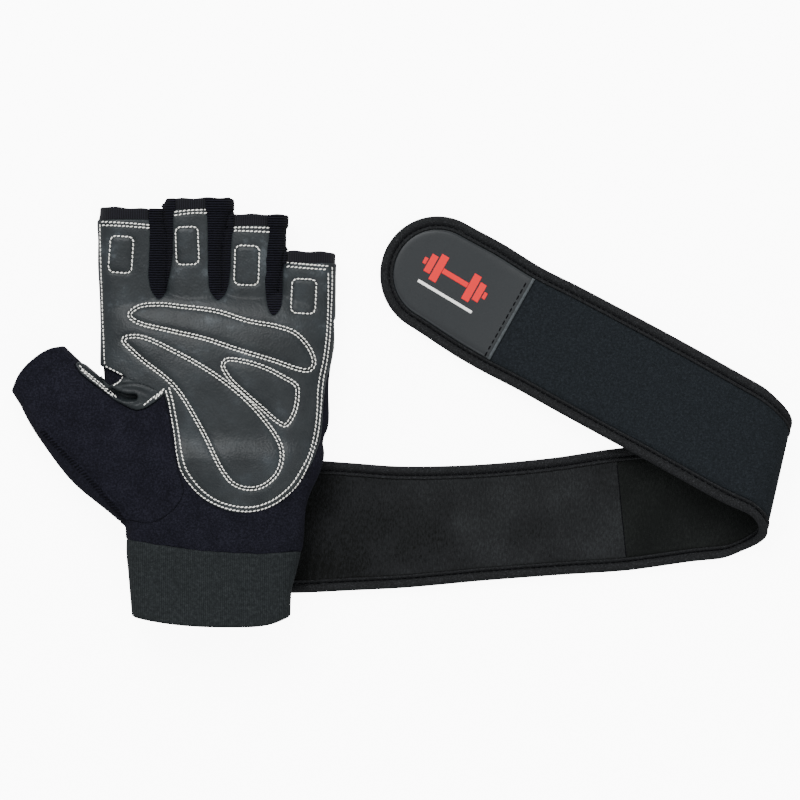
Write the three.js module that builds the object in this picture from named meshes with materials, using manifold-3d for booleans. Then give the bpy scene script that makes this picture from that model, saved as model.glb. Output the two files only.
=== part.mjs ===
// Left half-finger weightlifting glove, lying palm up, with a wrist strap that folds back over itself.
// Millimetres. X runs across the hand, Y from wrist to fingers, Z up from the table.
import * as THREE from "three";
import { mergeVertices } from "three/addons/utils/BufferGeometryUtils.js";
import Module from "manifold-3d";

const wasm = await Module();
wasm.setup();

// Driving sizes. Tables below give places across the hand as shares of handWidth,
// places along it as shares of palmLength, and heights as shares of the named depths.
const handWidth = 103;
const palmLength = 108;
const palmDepth = 26;
const fingerDepth = 17;
const thumbDepth = 22;
const cuffDepth = 22.5;
const fabricWall = 1.4;
const leatherWall = 1.7;
const cuffWall = 2;
const hemWall = 2.1;
const hemLength = 4.9;
const seamHeight = 9;
const knitFoot = 4.5;
const bodySides = 28;
const thumbSides = 24;
const fingerSides = 20;
const padRaise = 1.6;
const gap = 0.3;
const proud = 0.3; // leather and hems over the fabric
const squash = 2.5; // how much of a round section its own weight presses flat
const fullness = 3.1; // power of the rounded sections: 2 is an ellipse, more is boxier
const wristRamp = 11; // run over which the glove climbs onto its strap

const strapReach = 229.2;
const strapWidth = 51;
const strapThick = 3.2;
const bindingThick = 4;
const bindingWidth = 5.4;
const loopRadius = 9;
const foldLean = 78.7;
const foldClimb = 19.8;
const returnHeading = 150.8;
const returnLength = 157.1;
const patchLength = 37.4;
const patchThick = 0.9;
const hookThick = 1.2;
const hookLength = 62;
const seamPlace = 0.757;

const wristLift = bindingThick + gap;
const far = 3 * handWidth;
const tall = 3 * palmDepth;
const degrees = Math.PI / 180;

// Hand: sections across the palm, from the wrist to the clefts between the fingers.
const palmRows = [
  { v: -0.7, left: -0.362, right: 0.335, lift: 1, high: 0.86 },
  { v: -0.601, left: -0.367, right: 0.36, lift: 1, high: 0.88 },
  { v: -0.43, left: -0.38, right: 0.38, lift: 1, high: 0.93 },
  { v: -0.279, left: -0.405, right: 0.443, lift: 1, high: 0.97 },
  { v: -0.119, left: -0.43, right: 0.459, lift: 0, high: 1 },
  { v: 0.08, left: -0.463, right: 0.472, lift: 0, high: 1 },
  { v: 0.239, left: -0.476, right: 0.493, lift: 0, high: 0.92 },
  { v: 0.326, left: -0.48, right: 0.497, lift: 0, high: 0.82 },
  { v: 0.4, left: -0.484, right: 0.498, lift: 0, high: 0.66 },
  { v: 0.44, left: -0.46, right: 0.47, lift: 0, high: 0.4 },
];

// Fingers: each row is a section, tip is where the finger's hem ends.
const fingers = [
  {
    name: "index",
    tip: 0.764,
    rows: [
      { v: 0.2, left: -0.487, right: -0.207 },
      { v: 0.45, left: -0.489, right: -0.207 },
      { v: 0.637, left: -0.491, right: -0.207 },
      { v: 0.74, left: -0.493, right: -0.225 },
      { v: 0.82, left: -0.494, right: -0.232 },
    ],
    pad: { u: -0.39, v: 0.578, width: 9.9, height: 15.6, turn: -4 },
  },
  {
    name: "middle",
    tip: 0.804,
    rows: [
      { v: 0.2, left: -0.196, right: 0.0245 },
      { v: 0.45, left: -0.196, right: 0.0245 },
      { v: 0.637, left: -0.196, right: 0.0245 },
      { v: 0.736, left: -0.216, right: 0.049 },
      { v: 0.86, left: -0.212, right: 0.079 },
    ],
    pad: { u: -0.114, v: 0.613, width: 9.6, height: 16.1, turn: 2 },
  },
  {
    name: "ring",
    tip: 0.739,
    rows: [
      { v: 0.2, left: 0.0355, right: 0.2525 },
      { v: 0.549, left: 0.0355, right: 0.2525 },
      { v: 0.637, left: 0.037, right: 0.282 },
      { v: 0.72, left: 0.057, right: 0.294 },
      { v: 0.8, left: 0.06, right: 0.302 },
    ],
    pad: { u: 0.134, v: 0.535, width: 10.4, height: 16.9, turn: -2 },
  },
  {
    name: "little",
    tip: 0.591,
    rows: [
      { v: 0.2, left: 0.2635, right: 0.497 },
      { v: 0.49, left: 0.2645, right: 0.499 },
      { v: 0.56, left: 0.29, right: 0.501 },
      { v: 0.65, left: 0.303, right: 0.504 },
    ],
    pad: { u: 0.371, v: 0.412, width: 10.4, height: 14.8, turn: -3 },
  },
];

// Thumb: sections square to its own line, from its mound to past its open end.
const thumbRows = [
  { u: -0.255, v: -0.398, half: 0.188, lift: 1, high: 0.95 },
  { u: -0.355, v: -0.271, half: 0.2, lift: 0.6, high: 1.05 },
  { u: -0.518, v: -0.131, half: 0.192, lift: 0, high: 1.05 },
  { u: -0.625, v: -0.009, half: 0.169, lift: 0, high: 1 },
  { u: -0.743, v: 0.129, half: 0.145, lift: 0, high: 0.9 },
  { u: -0.83, v: 0.23, half: 0.135, lift: 0, high: 0.85 },
];

// Cuff: sections from inside the wrist to past its open end.
const cuffRows = [
  { v: -0.5, left: -0.362, right: 0.372, high: 1.02 },
  { v: -0.6, left: -0.366, right: 0.358, high: 1.04 },
  { v: -0.68, left: -0.359, right: 0.338, high: 1 },
  { v: -0.76, left: -0.352, right: 0.318, high: 0.97 },
  { v: -0.864, left: -0.343, right: 0.313, high: 0.94 },
  { v: -0.97, left: -0.336, right: 0.313, high: 0.92 },
];

// Seams and cut edges, seen from above. Columns: u across, v along.
const cuffSeam = [
  [-0.62, -0.53],
  [-0.372, -0.562],
  [-0.1, -0.605],
  [0.2, -0.612],
  [0.363, -0.603],
  [0.62, -0.58],
];
const cuffEnd = [
  [-0.6, -0.79],
  [-0.343, -0.862],
  [-0.16, -0.892],
  [0.05, -0.902],
  [0.22, -0.894],
  [0.313, -0.862],
  [0.6, -0.74],
];
const thumbEnd = [
  [-0.93, -0.08],
  [-0.854, 0.04],
  [-0.81, 0.112],
  [-0.752, 0.167],
  [-0.693, 0.203],
  [-0.635, 0.219],
  [-0.52, 0.235],
];
// Lower edge of the palm leather, round the heel to the point of the V beside the thumb.
const heelEdge = [
  [0.497, 0.318],
  [0.495, 0.219],
  [0.468, 0.076],
  [0.449, -0.111],
  [0.405, -0.271],
  [0.284, -0.41],
  [0.1, -0.456],
  [-0.058, -0.396],
  [-0.146, -0.265],
  [-0.182, -0.064],
  [-0.205, 0.02],
];
// Edge between palm leather and gusset, from the point of the V to the notch.
const gussetTop = [
  [-0.205, 0.02],
  [-0.271, 0.054],
  [-0.372, 0.092],
];
const gussetFoot = [
  [-0.205, 0.02],
  [-0.288, -0.032],
  [-0.33, -0.038],
  [-0.405, -0.002],
  [-0.501, 0.064],
  [-0.555, 0.107],
  [-0.58, 0.143],
];
const notch = [
  [-0.43, 0.058],
  [-0.372, 0.092],
  [-0.451, 0.125],
  [-0.52, 0.15],
  [-0.51, 0.13],
  [-0.463, 0.082],
];
const thumbSeam = [
  [-0.182, -0.064],
  [-0.146, -0.265],
  [-0.126, -0.36],
  [-0.146, -0.41],
  [-0.2, -0.46],
  [-0.264, -0.487],
  [-0.363, -0.478],
];
// Knit strips between the fingers: left edge down, round tip, right edge up.
const knitStrips = [
  {
    name: "fourchette_index_middle",
    edge: [
      [-0.264, 0.9],
      [-0.264, 0.66],
      [-0.271, 0.549],
      [-0.273, 0.486],
      [-0.258, 0.43],
      [-0.23, 0.4],
      [-0.203, 0.43],
      [-0.19, 0.478],
      [-0.18, 0.549],
      [-0.174, 0.66],
      [-0.174, 0.9],
    ],
  },
  {
    name: "fourchette_middle_ring",
    edge: [
      [-0.026, 0.9],
      [-0.026, 0.66],
      [-0.024, 0.51],
      [-0.016, 0.434],
      [0.015, 0.396],
      [0.048, 0.43],
      [0.062, 0.502],
      [0.069, 0.66],
      [0.073, 0.9],
    ],
  },
  {
    name: "fourchette_ring_little",
    edge: [
      [0.236, 0.9],
      [0.232, 0.68],
      [0.219, 0.518],
      [0.218, 0.418],
      [0.228, 0.362],
      [0.246, 0.336],
      [0.269, 0.358],
      [0.279, 0.418],
      [0.285, 0.51],
      [0.293, 0.58],
      [0.293, 0.9],
    ],
  },
];
const palmPads = [
  {
    name: "palm_pad_upper",
    edge: [
      [-0.355, 0.338],
      [-0.318, 0.371],
      [-0.236, 0.381],
      [-0.128, 0.371],
      [0.008, 0.354],
      [0.144, 0.314],
      [0.262, 0.293],
      [0.343, 0.263],
      [0.405, 0.19],
      [0.415, 0.14],
      [0.39, 0.116],
      [0.234, 0.159],
      [0.099, 0.198],
      [-0.038, 0.241],
      [-0.173, 0.271],
      [-0.327, 0.31],
    ],
  },
  {
    name: "palm_pad_heel",
    edge: [
      [-0.38, 0.24],
      [-0.318, 0.254],
      [-0.146, 0.185],
      [0.035, 0.081],
      [0.171, -0.034],
      [0.275, -0.172],
      [0.284, -0.232],
      [0.262, -0.293],
      [0.207, -0.34],
      [0.144, -0.352],
      [0.081, -0.332],
      [0.035, -0.28],
      [-0.056, -0.111],
      [-0.164, 0.053],
      [-0.318, 0.174],
    ],
  },
  {
    name: "palm_pad_side",
    edge: [
      [0.035, 0.139],
      [0.053, 0.16],
      [0.117, 0.156],
      [0.207, 0.131],
      [0.289, 0.092],
      [0.343, 0.057],
      [0.348, 0.018],
      [0.334, -0.051],
      [0.298, -0.101],
      [0.262, -0.086],
      [0.189, -0.025],
      [0.117, 0.035],
      [0.062, 0.087],
    ],
  },
];

// Strap: the run from under the wrist to the fold, as shares of strapReach and strapWidth.
const strapRun = [
  { x: -0.094, y: -0.238, width: 1.09 },
  { x: 0.159, y: -0.237, width: 1.09 },
  { x: 0.347, y: -0.236, width: 1.01 },
  { x: 0.497, y: -0.23, width: 0.97 },
  { x: 0.647, y: -0.217, width: 0.975 },
  { x: 0.76, y: -0.2045, width: 1 },
  { x: 0.91, y: -0.1886, width: 1 },
  { x: 1, y: -0.179, width: 1 },
];
// The way back: how high the strap still is above its lying end, as a share of the loop's height.
const strapFall = [
  { along: 0, rise: 1 },
  { along: 0.1, rise: 0.95 },
  { along: 0.22, rise: 0.82 },
  { along: 0.36, rise: 0.6 },
  { along: 0.5, rise: 0.36 },
  { along: 0.62, rise: 0.18 },
  { along: 0.74, rise: 0.06 },
  { along: 0.86, rise: 0 },
  { along: 1, rise: 0 },
  { along: 1.2, rise: 0 },
];

const plan = ([u, v]) => [u * handWidth, v * palmLength];
const mix = (a, b, share) => a + (b - a) * share;

// A closed mesh as a solid that can be joined and cut.
function solidOf(geometry) {
  const bare = geometry.clone();
  bare.deleteAttribute("normal");
  bare.deleteAttribute("uv");
  const merged = mergeVertices(bare, 1e-4);
  return new wasm.Manifold(
    new wasm.Mesh({
      numProp: 3,
      vertProperties: merged.attributes.position.array,
      triVerts: new Uint32Array(merged.index.array),
    }),
  );
}

// A closed body through rings of points that all have the same number of points.
function loft(rings) {
  const sides = rings[0].length;
  const points = rings.flat();
  const faces = [];
  for (let r = 0; r + 1 < rings.length; r++)
    for (let i = 0; i < sides; i++) {
      const j = (i + 1) % sides;
      const [a, b] = [r * sides + i, r * sides + j];
      const [c, d] = [a + sides, b + sides];
      faces.push(a, b, d, a, d, c);
    }
  for (const [r, flip] of [[0, true], [rings.length - 1, false]]) {
    const hub = points.length;
    const centre = [0, 1, 2].map((k) => rings[r].reduce((sum, p) => sum + p[k], 0) / sides);
    points.push(centre);
    for (let i = 0; i < sides; i++) {
      const [a, b] = [r * sides + i, r * sides + ((i + 1) % sides)];
      faces.push(...(flip ? [hub, b, a] : [hub, a, b]));
    }
  }
  const build = (order) => {
    const geometry = new THREE.BufferGeometry();
    geometry.setAttribute("position", new THREE.Float32BufferAttribute(points.flat(), 3));
    geometry.setIndex(order);
    return solidOf(geometry);
  };
  const body = build(faces);
  return body.volume() > 0 ? body : build(faces.reverse());
}

// One rounded section, upright, across a line in the plan; grow moves its skin outwards.
function section({ x, y, across = [1, 0], half, low, high }, sides, grow) {
  const bulge = (c) => Math.sign(c) * Math.abs(c) ** (2 / fullness);
  const rise = (high - low) / 2 + grow;
  return Array.from({ length: sides }, (_, i) => {
    const turn = (2 * Math.PI * (i + 0.5)) / sides;
    const a = (half + grow) * bulge(Math.cos(turn));
    return [x + a * across[0], y + a * across[1], (high + low) / 2 + rise * bulge(Math.sin(turn))];
  });
}

// Rows that lie across Y; the last one may be a closed end that moves with the skin.
function acrossRows(rows, depth, sides, grow, closedEnd = false) {
  return loft(
    rows.map(({ v, left, right, lift = 0, high = 1 }, i) => {
      const [x, y] = plan([(left + right) / 2, v]);
      const shift = closedEnd && i === rows.length - 1 ? grow : 0;
      const base = lift * wristLift;
      const half = ((right - left) / 2) * handWidth;
      return section({ x, y: y + shift, half, low: base - squash, high: base + high * depth }, sides, grow);
    }),
  );
}

function thumbBody(grow) {
  const places = thumbRows.map((row) => new THREE.Vector2(...plan([row.u, row.v])));
  return loft(
    thumbRows.map(({ half, lift, high }, i) => {
      const before = places[Math.max(i - 1, 0)];
      const after = places[Math.min(i + 1, places.length - 1)];
      const along = after.clone().sub(before).normalize();
      const at = places[i].clone().addScaledVector(along, i === 0 ? -grow : 0);
      const base = lift * wristLift;
      return section(
        {
          x: at.x,
          y: at.y,
          across: [along.y, -along.x],
          half: half * handWidth,
          low: base - squash,
          high: base + high * thumbDepth,
        },
        thumbSides,
        grow,
      );
    }),
  );
}

// A plan outline as an upright block between two heights.
function prism(outline, low, high) {
  const shape = new THREE.Shape(outline.map(([x, y]) => new THREE.Vector2(x, y)));
  const geometry = new THREE.ExtrudeGeometry(shape, { depth: high - low, bevelEnabled: false });
  geometry.translate(0, 0, low);
  return solidOf(geometry);
}

// A smooth line through plan points, open or closed.
function smooth(points, steps, closed = false) {
  const curve = new THREE.CatmullRomCurve3(
    points.map((p) => new THREE.Vector3(...plan(p), 0)),
    closed,
  );
  const line = curve.getPoints(steps * points.length).map((p) => [p.x, p.y]);
  return closed ? line.slice(0, -1) : line;
}

// The same closed outline, moved outwards by a distance.
function offset(outline, distance) {
  const clockwise = THREE.ShapeUtils.isClockWise(outline.map(([x, y]) => new THREE.Vector2(x, y)));
  const side = clockwise ? -1 : 1;
  const n = outline.length;
  return outline.map(([x, y], i) => {
    const [px, py] = outline[(i + n - 1) % n];
    const [qx, qy] = outline[(i + 1) % n];
    const length = Math.hypot(qx - px, qy - py);
    return [x + (side * distance * (qy - py)) / length, y - (side * distance * (qx - px)) / length];
  });
}

// The table under the glove, with the step where the wrist lies on its strap.
const strapEdge = Math.max(
  ...strapRun.slice(0, 3).map(({ y, width }) => y * strapReach + (width * strapWidth) / 2),
);
function bed(grow) {
  const rampFoot = strapEdge + gap;
  const rampTop = rampFoot + wristRamp;
  const shape = new THREE.Shape(
    [
      [far, -tall],
      [far, -grow],
      [rampTop, -grow],
      [rampFoot, wristLift - grow],
      [-far, wristLift - grow],
      [-far, -tall],
    ].map(([y, z]) => new THREE.Vector2(y, z)),
  );
  const geometry = new THREE.ExtrudeGeometry(shape, { depth: 2 * far, bevelEnabled: false });
  const turn = new THREE.Matrix4().makeBasis(
    new THREE.Vector3(0, 1, 0),
    new THREE.Vector3(0, 0, 1),
    new THREE.Vector3(1, 0, 0),
  );
  geometry.applyMatrix4(turn).translate(-far, 0, 0);
  return solidOf(geometry);
}

const fingerBody = (finger, grow) => acrossRows(finger.rows, fingerDepth, fingerSides, grow);
const trim = (body, grow) => body.subtract(bed(grow));

// The whole hand without its cuff, with its skin moved outwards by grow.
function hand(grow) {
  const parts = [acrossRows(palmRows, palmDepth, bodySides, grow, true), thumbBody(grow)];
  for (const finger of fingers) parts.push(fingerBody(finger, grow));
  return trim(parts.reduce((sum, part) => sum.add(part)), grow);
}
const cuff = (grow) => trim(acrossRows(cuffRows, cuffDepth, bodySides, grow), grow);

// Cutters. Everything above or below a height, and on either side of a seam line.
const span = [[-far, -far], [far, -far], [far, far], [-far, far]];
const above = (height) => prism(span, height, tall);
const below = (height) => prism(span, -tall, height);
const upright = (outline) => prism(outline, -tall, tall);
const seamLine = smooth(cuffSeam, 4);
const aboveSeam = (shift) =>
  upright([...seamLine.map(([x, y]) => [x, y + shift]), [far, far], [-far, far]]);
const aboveCuffEnd = upright([...smooth(cuffEnd, 4), [far, far], [-far, far]]);
const thumbLine = smooth(thumbEnd, 4);
const insideThumbEnd = upright([
  ...thumbLine,
  [thumbLine.at(-1)[0], far],
  [far, far],
  [far, -far],
  [-far, -far],
]);
const beyondTip = (finger, back) => {
  const y = finger.tip * palmLength - back;
  return upright([[-far, y], [far, y], [far, far], [-far, far]]);
};

// Walls: the fabric shell, and the leather that stands a little proud of it.
const openEnds = (body) => {
  let result = body.intersect(insideThumbEnd).intersect(aboveSeam(gap / 2));
  for (const finger of fingers)
    result = result.subtract(fingerBody(finger, gap).intersect(beyondTip(finger, hemLength + gap)));
  return result;
};
const cavity = hand(-fabricWall);
const fabric = openEnds(hand(0).subtract(cavity));
const leather = openEnds(hand(proud).subtract(hand(proud - leatherWall)));
const palmSide = above(seamHeight + gap / 2);

// Plan outlines of the panels.
const heelLine = smooth(heelEdge, 3);
const footLine = smooth(gussetFoot, 3);
const leatherOutline = [
  plan([-0.525, 0.16]),
  [-far, far],
  [far, far],
  [far, plan(heelEdge[0])[1]],
  ...heelLine,
  ...gussetTop.slice(1).map(plan),
  plan(notch[2]),
];
const gussetOutline = [
  ...footLine,
  plan([-0.58, 0.2]),
  plan(notch[3]),
  ...[notch[4], notch[5], notch[0]].map(plan),
  ...gussetTop.slice(1).reverse().map(plan),
];
const stallOutline = [
  ...footLine.toReversed(),
  ...smooth(thumbSeam, 3),
  plan([-0.6, -0.52]),
  [-far, -0.52 * palmLength],
  [-far, far / 3],
  plan([-0.58, 0.3]),
];
const notchOutline = notch.map(plan);
const knitBlock = ({ edge }, shift) => {
  const outline = [...smooth(edge.slice(1, -1), 3), plan(edge.at(-1)), plan(edge[0])];
  return prism(offset(outline, shift), knitFoot - shift, tall);
};
const block = (outline, shift = 0) => upright(offset(outline, shift));

// The largest connected piece; slivers that a cut leaves beside it are dropped.
function mainPiece(solid) {
  return solid.decompose().reduce((best, part) => (part.volume() > best.volume() ? part : best));
}

const knits = knitStrips.map((strip) => [strip.name, mainPiece(fabric.intersect(knitBlock(strip, 0)))]);
const knitRoom = knitStrips.map((strip) => knitBlock(strip, gap)).reduce((sum, part) => sum.add(part));
const notchRoom = block(notchOutline, gap);

const gusset = leather
  .intersect(palmSide)
  .intersect(upright(gussetOutline))
  .subtract(notchRoom);
const palmLeather = leather
  .intersect(palmSide)
  .intersect(upright(leatherOutline))
  .subtract(knitRoom)
  .subtract(block(gussetOutline, gap))
  .subtract(notchRoom);
const leatherRoom = block(leatherOutline, gap);
const stall = fabric
  .intersect(palmSide)
  .intersect(upright(stallOutline))
  .subtract(leatherRoom)
  .subtract(block(gussetOutline, gap))
  .subtract(notchRoom);
const heelFabric = fabric
  .intersect(palmSide)
  .subtract(leatherRoom)
  .subtract(block(stallOutline, gap))
  .subtract(block(gussetOutline, gap))
  .subtract(notchRoom);
const backSide = fabric.intersect(below(seamHeight - gap / 2)).subtract(knitRoom);
const thumbBack = backSide.intersect(upright(stallOutline)).subtract(notchRoom);
const backPanel = backSide
  .add(fabric.intersect(upright(notchOutline)).intersect(above(seamHeight - gap)))
  .subtract(block(stallOutline, gap).subtract(upright(notchOutline)));

// Padded shapes sit on the leather as a skin of their own thickness.
const padSkin = hand(proud + padRaise).subtract(hand(proud + gap)).intersect(palmSide);

function roundedRectangle({ u, v, width, height, turn }) {
  const radius = width / 4;
  const corners = [[1, 1, 0], [-1, 1, 90], [-1, -1, 180], [1, -1, 270]];
  const outline = corners.flatMap(([i, j, start]) =>
    [0, 30, 60, 90].map((step) => {
      const angle = (start + step) * degrees;
      return new THREE.Vector2(
        i * (width / 2 - radius) + radius * Math.cos(angle),
        j * (height / 2 - radius) + radius * Math.sin(angle),
      );
    }),
  );
  const centre = new THREE.Vector2(...plan([u, v]));
  return outline.map((p) => p.rotateAround(new THREE.Vector2(), turn * degrees).add(centre).toArray());
}

const cuffBand = cuff(0).subtract(cuff(-cuffWall)).intersect(aboveCuffEnd).subtract(aboveSeam(-gap / 2));

const hems = fingers.map((finger) => [
  "finger_hem_" + finger.name,
  trim(fingerBody(finger, proud), 0)
    .subtract(trim(fingerBody(finger, proud - hemWall), proud - hemWall))
    .intersect(beyondTip(finger, hemLength))
    .subtract(beyondTip(finger, 0)),
]);

const direction = (angle) => new THREE.Vector3(Math.cos(angle * degrees), Math.sin(angle * degrees), 0);

// Strap frames: centre, direction across, and outward normal, at every step of its length.
function strapFrames() {
  const steps = [];
  const middle = bindingThick / 2;
  const places = strapRun.map(({ x, y }) => new THREE.Vector3(x, y, 0));
  const low = new THREE.CatmullRomCurve3(places);
  const widths = new THREE.CatmullRomCurve3(strapRun.map(({ x, width }) => new THREE.Vector3(x, width, 0)));
  const runSteps = 20;
  for (let i = 0; i <= runSteps; i++) {
    const share = i / runSteps;
    const at = low.getPoint(share).multiplyScalar(strapReach);
    const heading = Math.atan2(low.getTangent(share).y, low.getTangent(share).x) / degrees;
    const lean = mix(heading + 90, foldLean, THREE.MathUtils.smoothstep(share, 0.72, 1));
    steps.push({
      centre: at.setZ(middle),
      across: direction(lean),
      heading: direction(heading),
      width: widths.getPoint(share).y * strapWidth,
    });
  }
  const start = steps.at(-1).centre.clone();
  const axis = direction(foldLean);
  const out = direction(foldLean - 90);
  const loopSteps = 12;
  for (let i = 1; i <= loopSteps; i++) {
    const turn = (Math.PI * i) / loopSteps;
    const centre = start
      .clone()
      .addScaledVector(out, loopRadius * Math.sin(turn))
      .addScaledVector(axis, (foldClimb * i) / loopSteps)
      .setZ(middle + loopRadius * (1 - Math.cos(turn)));
    steps.push({ centre, across: axis, heading: out, width: strapWidth });
  }
  const turned = steps.at(-1).centre.clone();
  const back = direction(returnHeading);
  const rest = strapThick / 2 + gap + hookThick;
  const fallPoints = strapFall.map(({ along, rise }) => new THREE.Vector3(along, rise, 0));
  const fall = new THREE.CatmullRomCurve3(fallPoints);
  const backSteps = 27;
  for (let i = 1; i <= backSteps; i++) {
    const { x: along, y: rise } = fall.getPoint(i / backSteps);
    const lean = mix(foldLean, returnHeading - 90, THREE.MathUtils.smoothstep(along, 0, 0.25));
    const centre = turned.clone().addScaledVector(back, along * returnLength);
    centre.setZ(mix(rest, turned.z, rise));
    steps.push({ centre, across: direction(lean), heading: back, width: strapWidth });
  }
  let length = 0;
  steps.forEach((step, i) => {
    const before = steps[Math.max(i - 1, 0)].centre;
    const after = steps[Math.min(i + 1, steps.length - 1)].centre;
    length += i ? step.centre.distanceTo(before) : 0;
    step.s = length;
    step.normal = step.across.clone().cross(after.clone().sub(before)).normalize();
    step.stretch = 1 / Math.abs(step.across.clone().cross(step.heading).z);
  });
  return { steps, foldStart: steps[runSteps].s, foldEnd: steps[runSteps + loopSteps].s };
}
const { steps: strapSteps, foldStart, foldEnd } = strapFrames();

// The length at which the strap has come to a place, between two frame steps.
function lengthWhere(share, from, to) {
  const steps = strapSteps.filter((step) => step.s >= from && step.s <= to);
  const next = Math.max(1, steps.findIndex((step) => share(step) >= 0));
  const [a, b] = [steps[next - 1], steps[next]];
  return mix(a.s, b.s, share(a) / (share(a) - share(b)));
}
const foldPlace = strapSteps.find((step) => step.s === foldEnd).centre;
const alongReturn = (step) => step.centre.clone().sub(foldPlace).dot(direction(returnHeading));
const tipStart = lengthWhere((step) => alongReturn(step) - returnLength, foldEnd, Infinity);
const crossSeam = lengthWhere((step) => step.centre.x - seamPlace * strapReach, 0, foldStart);

// A point of the strap: s along it, t across it, n outwards from its middle layer.
function strapPoint(s, t, n) {
  const next = Math.max(1, strapSteps.findIndex((step) => step.s >= s));
  const [a, b] = [strapSteps[next - 1], strapSteps[next]];
  const share = (s - a.s) / (b.s - a.s);
  const blend = (key) => a[key].clone().lerp(b[key], share);
  return blend("centre")
    .addScaledVector(blend("across"), t * mix(a.stretch, b.stretch, share))
    .addScaledVector(blend("normal").normalize(), n)
    .toArray();
}
function halfWidth(s) {
  const next = Math.max(1, strapSteps.findIndex((step) => step.s >= s));
  const [a, b] = [strapSteps[next - 1], strapSteps[next]];
  return mix(a.width, b.width, (s - a.s) / (b.s - a.s)) / 2;
}

// Stops along the strap between two lengths, with the frame steps in between.
const stops = (from, to) => [
  from,
  ...strapSteps.map((step) => step.s).filter((s) => s > from + 1 && s < to - 1),
  to,
];
const tipTurns = [15, 30, 45, 58, 70, 80, 86];

// A flat layer of the strap, inset from its edges; where it reaches the tip it ends in an arc.
function layer(from, to, inset, low, high) {
  const ring = (s, half) => [
    strapPoint(s, -half, low),
    strapPoint(s, half, low),
    strapPoint(s, half, high),
    strapPoint(s, -half, high),
  ];
  const straight = stops(from, Math.min(to, tipStart)).map((s) => ring(s, halfWidth(s) - inset));
  if (to <= tipStart) return loft(straight);
  const radius = strapWidth / 2 - inset;
  const arc = tipTurns.map((turn) =>
    ring(tipStart + radius * Math.sin(turn * degrees), radius * Math.cos(turn * degrees)),
  );
  return loft([...straight, ...arc]);
}

// The tape that runs out along one edge, round the tip and back along the other.
function binding() {
  const high = bindingThick / 2;
  const bar = (outer, inner) => [
    strapPoint(...outer, -high),
    strapPoint(...inner, -high),
    strapPoint(...inner, high),
    strapPoint(...outer, high),
  ];
  const side = (sign) => (s) => bar([s, sign * halfWidth(s)], [s, sign * (halfWidth(s) - bindingWidth)]);
  const out = stops(0, tipStart);
  const round = [];
  const [outer, inner] = [strapWidth / 2, strapWidth / 2 - bindingWidth];
  for (let turn = 75; turn > -90; turn -= 15) {
    const [c, s] = [Math.cos(turn * degrees), Math.sin(turn * degrees)];
    round.push(bar([tipStart + outer * c, outer * s], [tipStart + inner * c, inner * s]));
  }
  return loft([...out.map(side(1)), ...round, ...out.toReversed().map(side(-1))]);
}

const bandInset = bindingWidth + gap;
const halfThick = strapThick / 2;
const strapEnd = tipStart + strapWidth;

// Nodes, each with its own material.
const finishes = {
  leather: { color: "#43484a", roughness: 0.55 },
  fabric: { color: "#14141c", roughness: 0.95 },
  knit: { color: "#101018", roughness: 0.95 },
  elastic: { color: "#2b3130", roughness: 0.9 },
  neoprene: { color: "#1b2124", roughness: 0.9 },
  tape: { color: "#17181a", roughness: 0.8 },
  patch: { color: "#3b3f42", roughness: 0.5 },
  hook: { color: "#131313", roughness: 0.95 },
};
const glove = new THREE.Group();
function piece(name, finish, solid) {
  const { vertProperties, triVerts } = mainPiece(solid).getMesh();
  const geometry = new THREE.BufferGeometry();
  geometry.setAttribute("position", new THREE.BufferAttribute(vertProperties, 3));
  geometry.setIndex(new THREE.BufferAttribute(triVerts, 1));
  geometry.computeVertexNormals();
  const material = new THREE.MeshStandardMaterial({ ...finishes[finish], metalness: 0 });
  const mesh = new THREE.Mesh(geometry, material);
  mesh.name = name;
  glove.add(mesh);
}

piece("palm_leather", "leather", palmLeather);
piece("thumb_gusset", "leather", gusset);
piece("thumb_stall", "fabric", stall);
piece("heel_fabric", "fabric", heelFabric);
piece("back_panel", "fabric", backPanel);
piece("thumb_back", "fabric", thumbBack);
for (const [name, solid] of knits) piece(name, "knit", solid);
for (const [name, solid] of hems) piece(name, "elastic", solid);
piece("cuff_band", "elastic", cuffBand);
for (const { name, edge } of palmPads)
  piece(name, "leather", padSkin.intersect(upright(smooth(edge, 2, true))));
for (const { name, pad } of fingers)
  piece("finger_pad_" + name, "leather", padSkin.intersect(upright(roundedRectangle(pad))));
piece("strap_base", "neoprene", layer(0, crossSeam - gap / 2, bandInset, -halfThick, halfThick));
piece("strap_band", "neoprene", layer(crossSeam + gap / 2, strapEnd, bandInset, -halfThick, halfThick));
piece("strap_binding", "tape", binding());
piece("strap_tip_patch", "patch",
  layer(tipStart - patchLength, strapEnd, bandInset, halfThick + gap, halfThick + gap + patchThick));
piece("strap_hook_pad", "hook",
  layer(tipStart - hookLength, strapEnd, bandInset, -halfThick - gap - hookThick, -halfThick - gap));

export default glove;
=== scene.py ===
# %% [markdown]
# A half-finger weightlifting glove for the left hand lies palm up, with its wrist strap folded back
# beside it. The imported solids come first, as a fixed frame in metres. Every visible piece is then
# built where its solid is and stands in for it, so the soft look and the solids' shape stay together.

# %% Load the frame
import math

import bpy
import numpy as np
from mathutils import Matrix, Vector
from mathutils.bvhtree import BVHTree


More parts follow.
